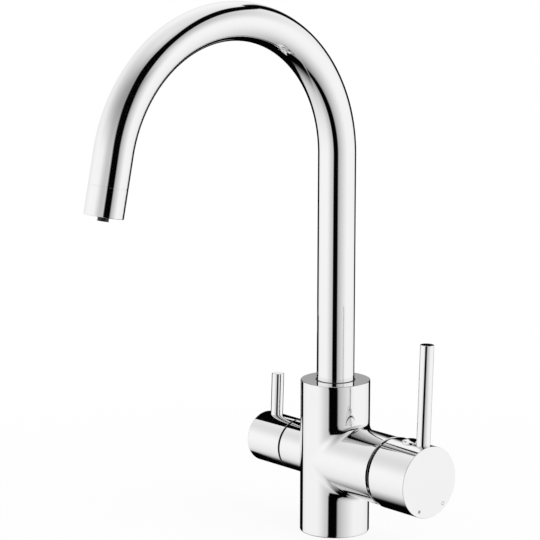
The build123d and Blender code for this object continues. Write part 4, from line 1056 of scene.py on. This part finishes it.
ahead, aside, height = [part_along(axis) for axis in (FRONT, RIGHT, UP)]
turn = aside.maths("ARCTAN2", aside, ahead)
compass = turn * IN_DEGREES
climb = height.maths("ARCSINE", height) * IN_DEGREES
screen = recipe.smooth_step(compass, *SCREEN_LEFT) - recipe.smooth_step(compass, *SCREEN_RIGHT)
corners = recipe.smooth_step(abs(compass), *BACK_CORNERS)
walls = SOFTBOX - SCREEN_DEPTH * screen - BACK_FALL * corners
ceiling = CEILING - CEILING_SWING * turn.maths("COSINE", turn)
risen = walls + (ceiling - walls) * recipe.smooth_step(climb, *CEILING_RISE)
topped = risen + (OVERHEAD - risen) * recipe.smooth_step(climb, *OVERHEAD_RISE)
sunk = height.maths("MINIMUM", height, 0.0)
below = height.maths("POWER", 1 - sunk * sunk, BELOW_POWER)
room = topped * below / CHROME_SHARE

rays = recipe.node("ShaderNodeLightPath")
seen, through, glossy = [Number(recipe, rays.outputs[kind]) for kind in (
    "Is Camera Ray", "Is Transmission Ray", "Is Glossy Ray")]
seen = seen + through
light = seen + (1 - seen) * (glossy * room + (1 - glossy) * DAYLIGHT)
background = recipe.node("ShaderNodeBackground", None, {"Color": grey(1.0), "Strength": light})
recipe.node("ShaderNodeOutputWorld", None, {"Surface": background.outputs[0]})
print("the softboxes have a level of", SOFTBOX, "and the ceiling one of", CEILING)

# %% [markdown]
# ## Black flags
#
# White alone would make chrome look like paint. Photographers stand black cards beside the
# camera and behind the product, and their reflections are the dark lines that draw a tube's
# edge and the dark band down its front. They are real cards here, near the tap, because a
# near card lies in another place in the riser's reflection than in the outlet's. The long flag
# runs up before the tap, over it and down behind. The right shade fades beside it, the two
# left flags and the low flag draw the outlines and the undersides, and a small grey card stands
# behind. Their edges fade, as a card's reflection does when it stands before a softbox. Only
# chrome sees them. Each row of a card has a left and a right end at the same place ahead.

# %% Flags
SHADE_COVER = 0.65
SHADE_STEPS = 8


def studio(right, forward, up):
    """A point of the studio, from its place to the right, forward and up as the camera sees it."""
    return RIGHT * right + FRONT * forward + UP * up


def card_material(name, level):
    """A flat tone that fades to nothing where the card's cover does."""
    material = bpy.data.materials.new(name)
    material.use_nodes = True
    recipe = Recipe(material.node_tree)
    cover = recipe.number("ShaderNodeAttribute", "Fac", {"attribute_name": "cover"})
    flat = recipe.node("ShaderNodeEmission", None, {"Color": grey(1.0), "Strength": level})
    clear = recipe.node("ShaderNodeBsdfTransparent")
    share = recipe.smooth_step(cover, 0.0, 1.0)
    both = recipe.node("ShaderNodeMixShader", None, {0: share, 1: clear.outputs[0], 2: flat.outputs[0]})
    recipe.node("ShaderNodeOutputMaterial", None, {"Surface": both.outputs[0]})
    return material


def past(line, inner, softness):
    """The row beyond a card's first or last row, where the card has faded."""
    return [point + (point - other).normalized() * softness for point, other in zip(line, inner)]


def flag(name, rows, covers, softness, material):
    """A card through rows of (left, right, forward, up), with covers across it.

    Each cover is (share of the way from left to right, metres beyond, how much it hides).
    """
    lines = [[studio(end, forward, up) for end in (left, right)] for left, right, forward, up in rows]
    before = past(lines[0], lines[1], softness)
    after = past(lines[-1], lines[-2], softness)
    strengths = [0.0] + [1.0] * len(lines) + [0.0]
    shape = bmesh.new()
    cover = shape.verts.layers.float.new("cover")
    grid = []
    for (left, right), strength in zip([before] + lines + [after], strengths):
        across = (right - left).normalized()
        row = []
        for share, beyond, full in covers:
            vert = shape.verts.new(left.lerp(right, share) + across * beyond)
            vert[cover] = full * strength
            row.append(vert)
        grid.append(row)
    for below_row, above_row in zip(grid, grid[1:]):
        for index in range(len(covers) - 1):
            shape.faces.new((below_row[index], below_row[index + 1],
                             above_row[index + 1], above_row[index]))
    card = mesh_object(name, name, shape, material)
    for kind in ("camera", "diffuse", "transmission", "volume_scatter", "shadow"):
        setattr(card, "visible_" + kind, False)


def soft_edges(softness):
    """The covers of a card that fades over the same softness on both sides."""
    return [(0, -softness, 0), (0, 0, 1), (1, 0, 1), (1, softness, 0)]


black_card = card_material("black_card", 0.001)
grey_card = card_material("grey_card", 0.4)
shade_shares = [step / SHADE_STEPS for step in range(SHADE_STEPS + 1)]
shade_fall = [(share ** 2, 0, SHADE_COVER * (1 - share)) for share in shade_shares]

flag("long_flag", [
    (-0.17, 0.02, 0.41, -0.9), (-0.145, 0.025, 0.41, 0.0), (-0.14, 0.01, 0.41, 0.3),
    (-0.15, 0.03, 0.41, 0.5), (-0.13, 0.12, 0.41, 0.6), (-0.11, 0.21, 0.41, 0.7),
    (-0.05, 0.32, 0.41, 0.8), (0.06, 0.42, 0.40, 0.9), (0.15, 0.42, 0.30, 0.9), (0.19, 0.43, 0.10, 0.9),
    (0.23, 0.45, -0.05, 0.9), (0.28, 0.45, -0.2, 0.9), (0.30, 0.43, -0.3, 0.9), (0.18, 0.31, -0.3, 0.8),
    (0.08, 0.22, -0.3, 0.6), (0.05, 0.20, -0.3, 0.47), (0.05, 0.28, -0.3, 0.38), (0.05, 0.33, -0.3, 0.28),
    (0.05, 0.30, -0.3, 0.15), (0.05, 0.24, -0.3, 0.0), (0.05, 0.24, -0.3, -0.6),
], soft_edges(0.045), 0.045, black_card)
flag("right_shade", [
    (0.03, 0.98, 0.415, -0.9), (0.035, 0.985, 0.415, 0.0), (0.02, 0.97, 0.415, 0.3),
    (0.04, 0.99, 0.415, 0.5),
], [(-0.03, 0, 0)] + shade_fall, 0.1, black_card)
flag("left_flag", [
    (-0.18, -0.005, -0.14, -0.1), (-0.18, -0.005, -0.14, 0.11), (-0.16, -0.05, -0.14, 0.115),
    (-0.16, -0.05, -0.14, 0.13), (-0.16, -0.03, -0.14, 0.135), (-0.16, -0.03, -0.14, 0.36),
], soft_edges(0.006), 0.006, black_card)
flag("lower_left_flag", [
    (-0.09, -0.005, -0.14, -0.5), (-0.12, -0.005, -0.14, -0.1),
], [(0, -0.1, 0), (0, 0, 1), (1, 0, 1), (1, 0.006, 0)], 0.006, black_card)
flag("low_flag", [
    (-0.12, 0.04, 0.17, -0.3), (-0.12, 0.04, 0.0, -0.3), (-0.16, 0.085, -0.19, -0.3),
    (-0.21, 0.25, -0.36, -0.3), (-0.37, 0.51, -0.72, -0.3), (-0.52, 0.6, -1.07, -0.3),
], [(0, -0.35, 0), (0, -0.2, 0.3), (0, -0.08, 0.6), (0, 0, 1), (1, 0, 1), (1, 0.04, 0)], 0.04, black_card)
flag("back_card", [
    (-0.03, 0.035, -0.28, 0.10), (-0.03, 0.035, -0.28, 0.21),
], soft_edges(0.004), 0.004, grey_card)
print("flags stand in front, overhead and behind")

# %% [markdown]
# ## A soft lamp
#
# The daylight is even, so a wide lamp above and to the right gives the floor its shadow and
# the dark plastic its form. The chrome doesn't see the lamp, because the room already has its
# softbox there.

# %% Lamp
LAMP_SIZE = 0.9
LAMP_POWER = 6.0
LAMP_PLACE = FRONT * 0.5 + RIGHT * 0.7 + UP * 1.3
LAMP_AIM = UP * 0.15
lamp_data = bpy.data.lights.new("soft_lamp", "AREA")
lamp_data.shape = "DISK"
lamp_data.size = LAMP_SIZE
lamp_data.energy = LAMP_POWER
lamp = bpy.data.objects.new("soft_lamp", lamp_data)
lamp.location = LAMP_PLACE
lamp.rotation_euler = (LAMP_PLACE - LAMP_AIM).to_track_quat("Z", "Y").to_euler()
lamp.visible_glossy = False
lamp.visible_camera = False
bpy.context.scene.collection.objects.link(lamp)
bpy.context.scene.view_settings.view_transform = "Standard"
print("lamp of", LAMP_POWER, "W")
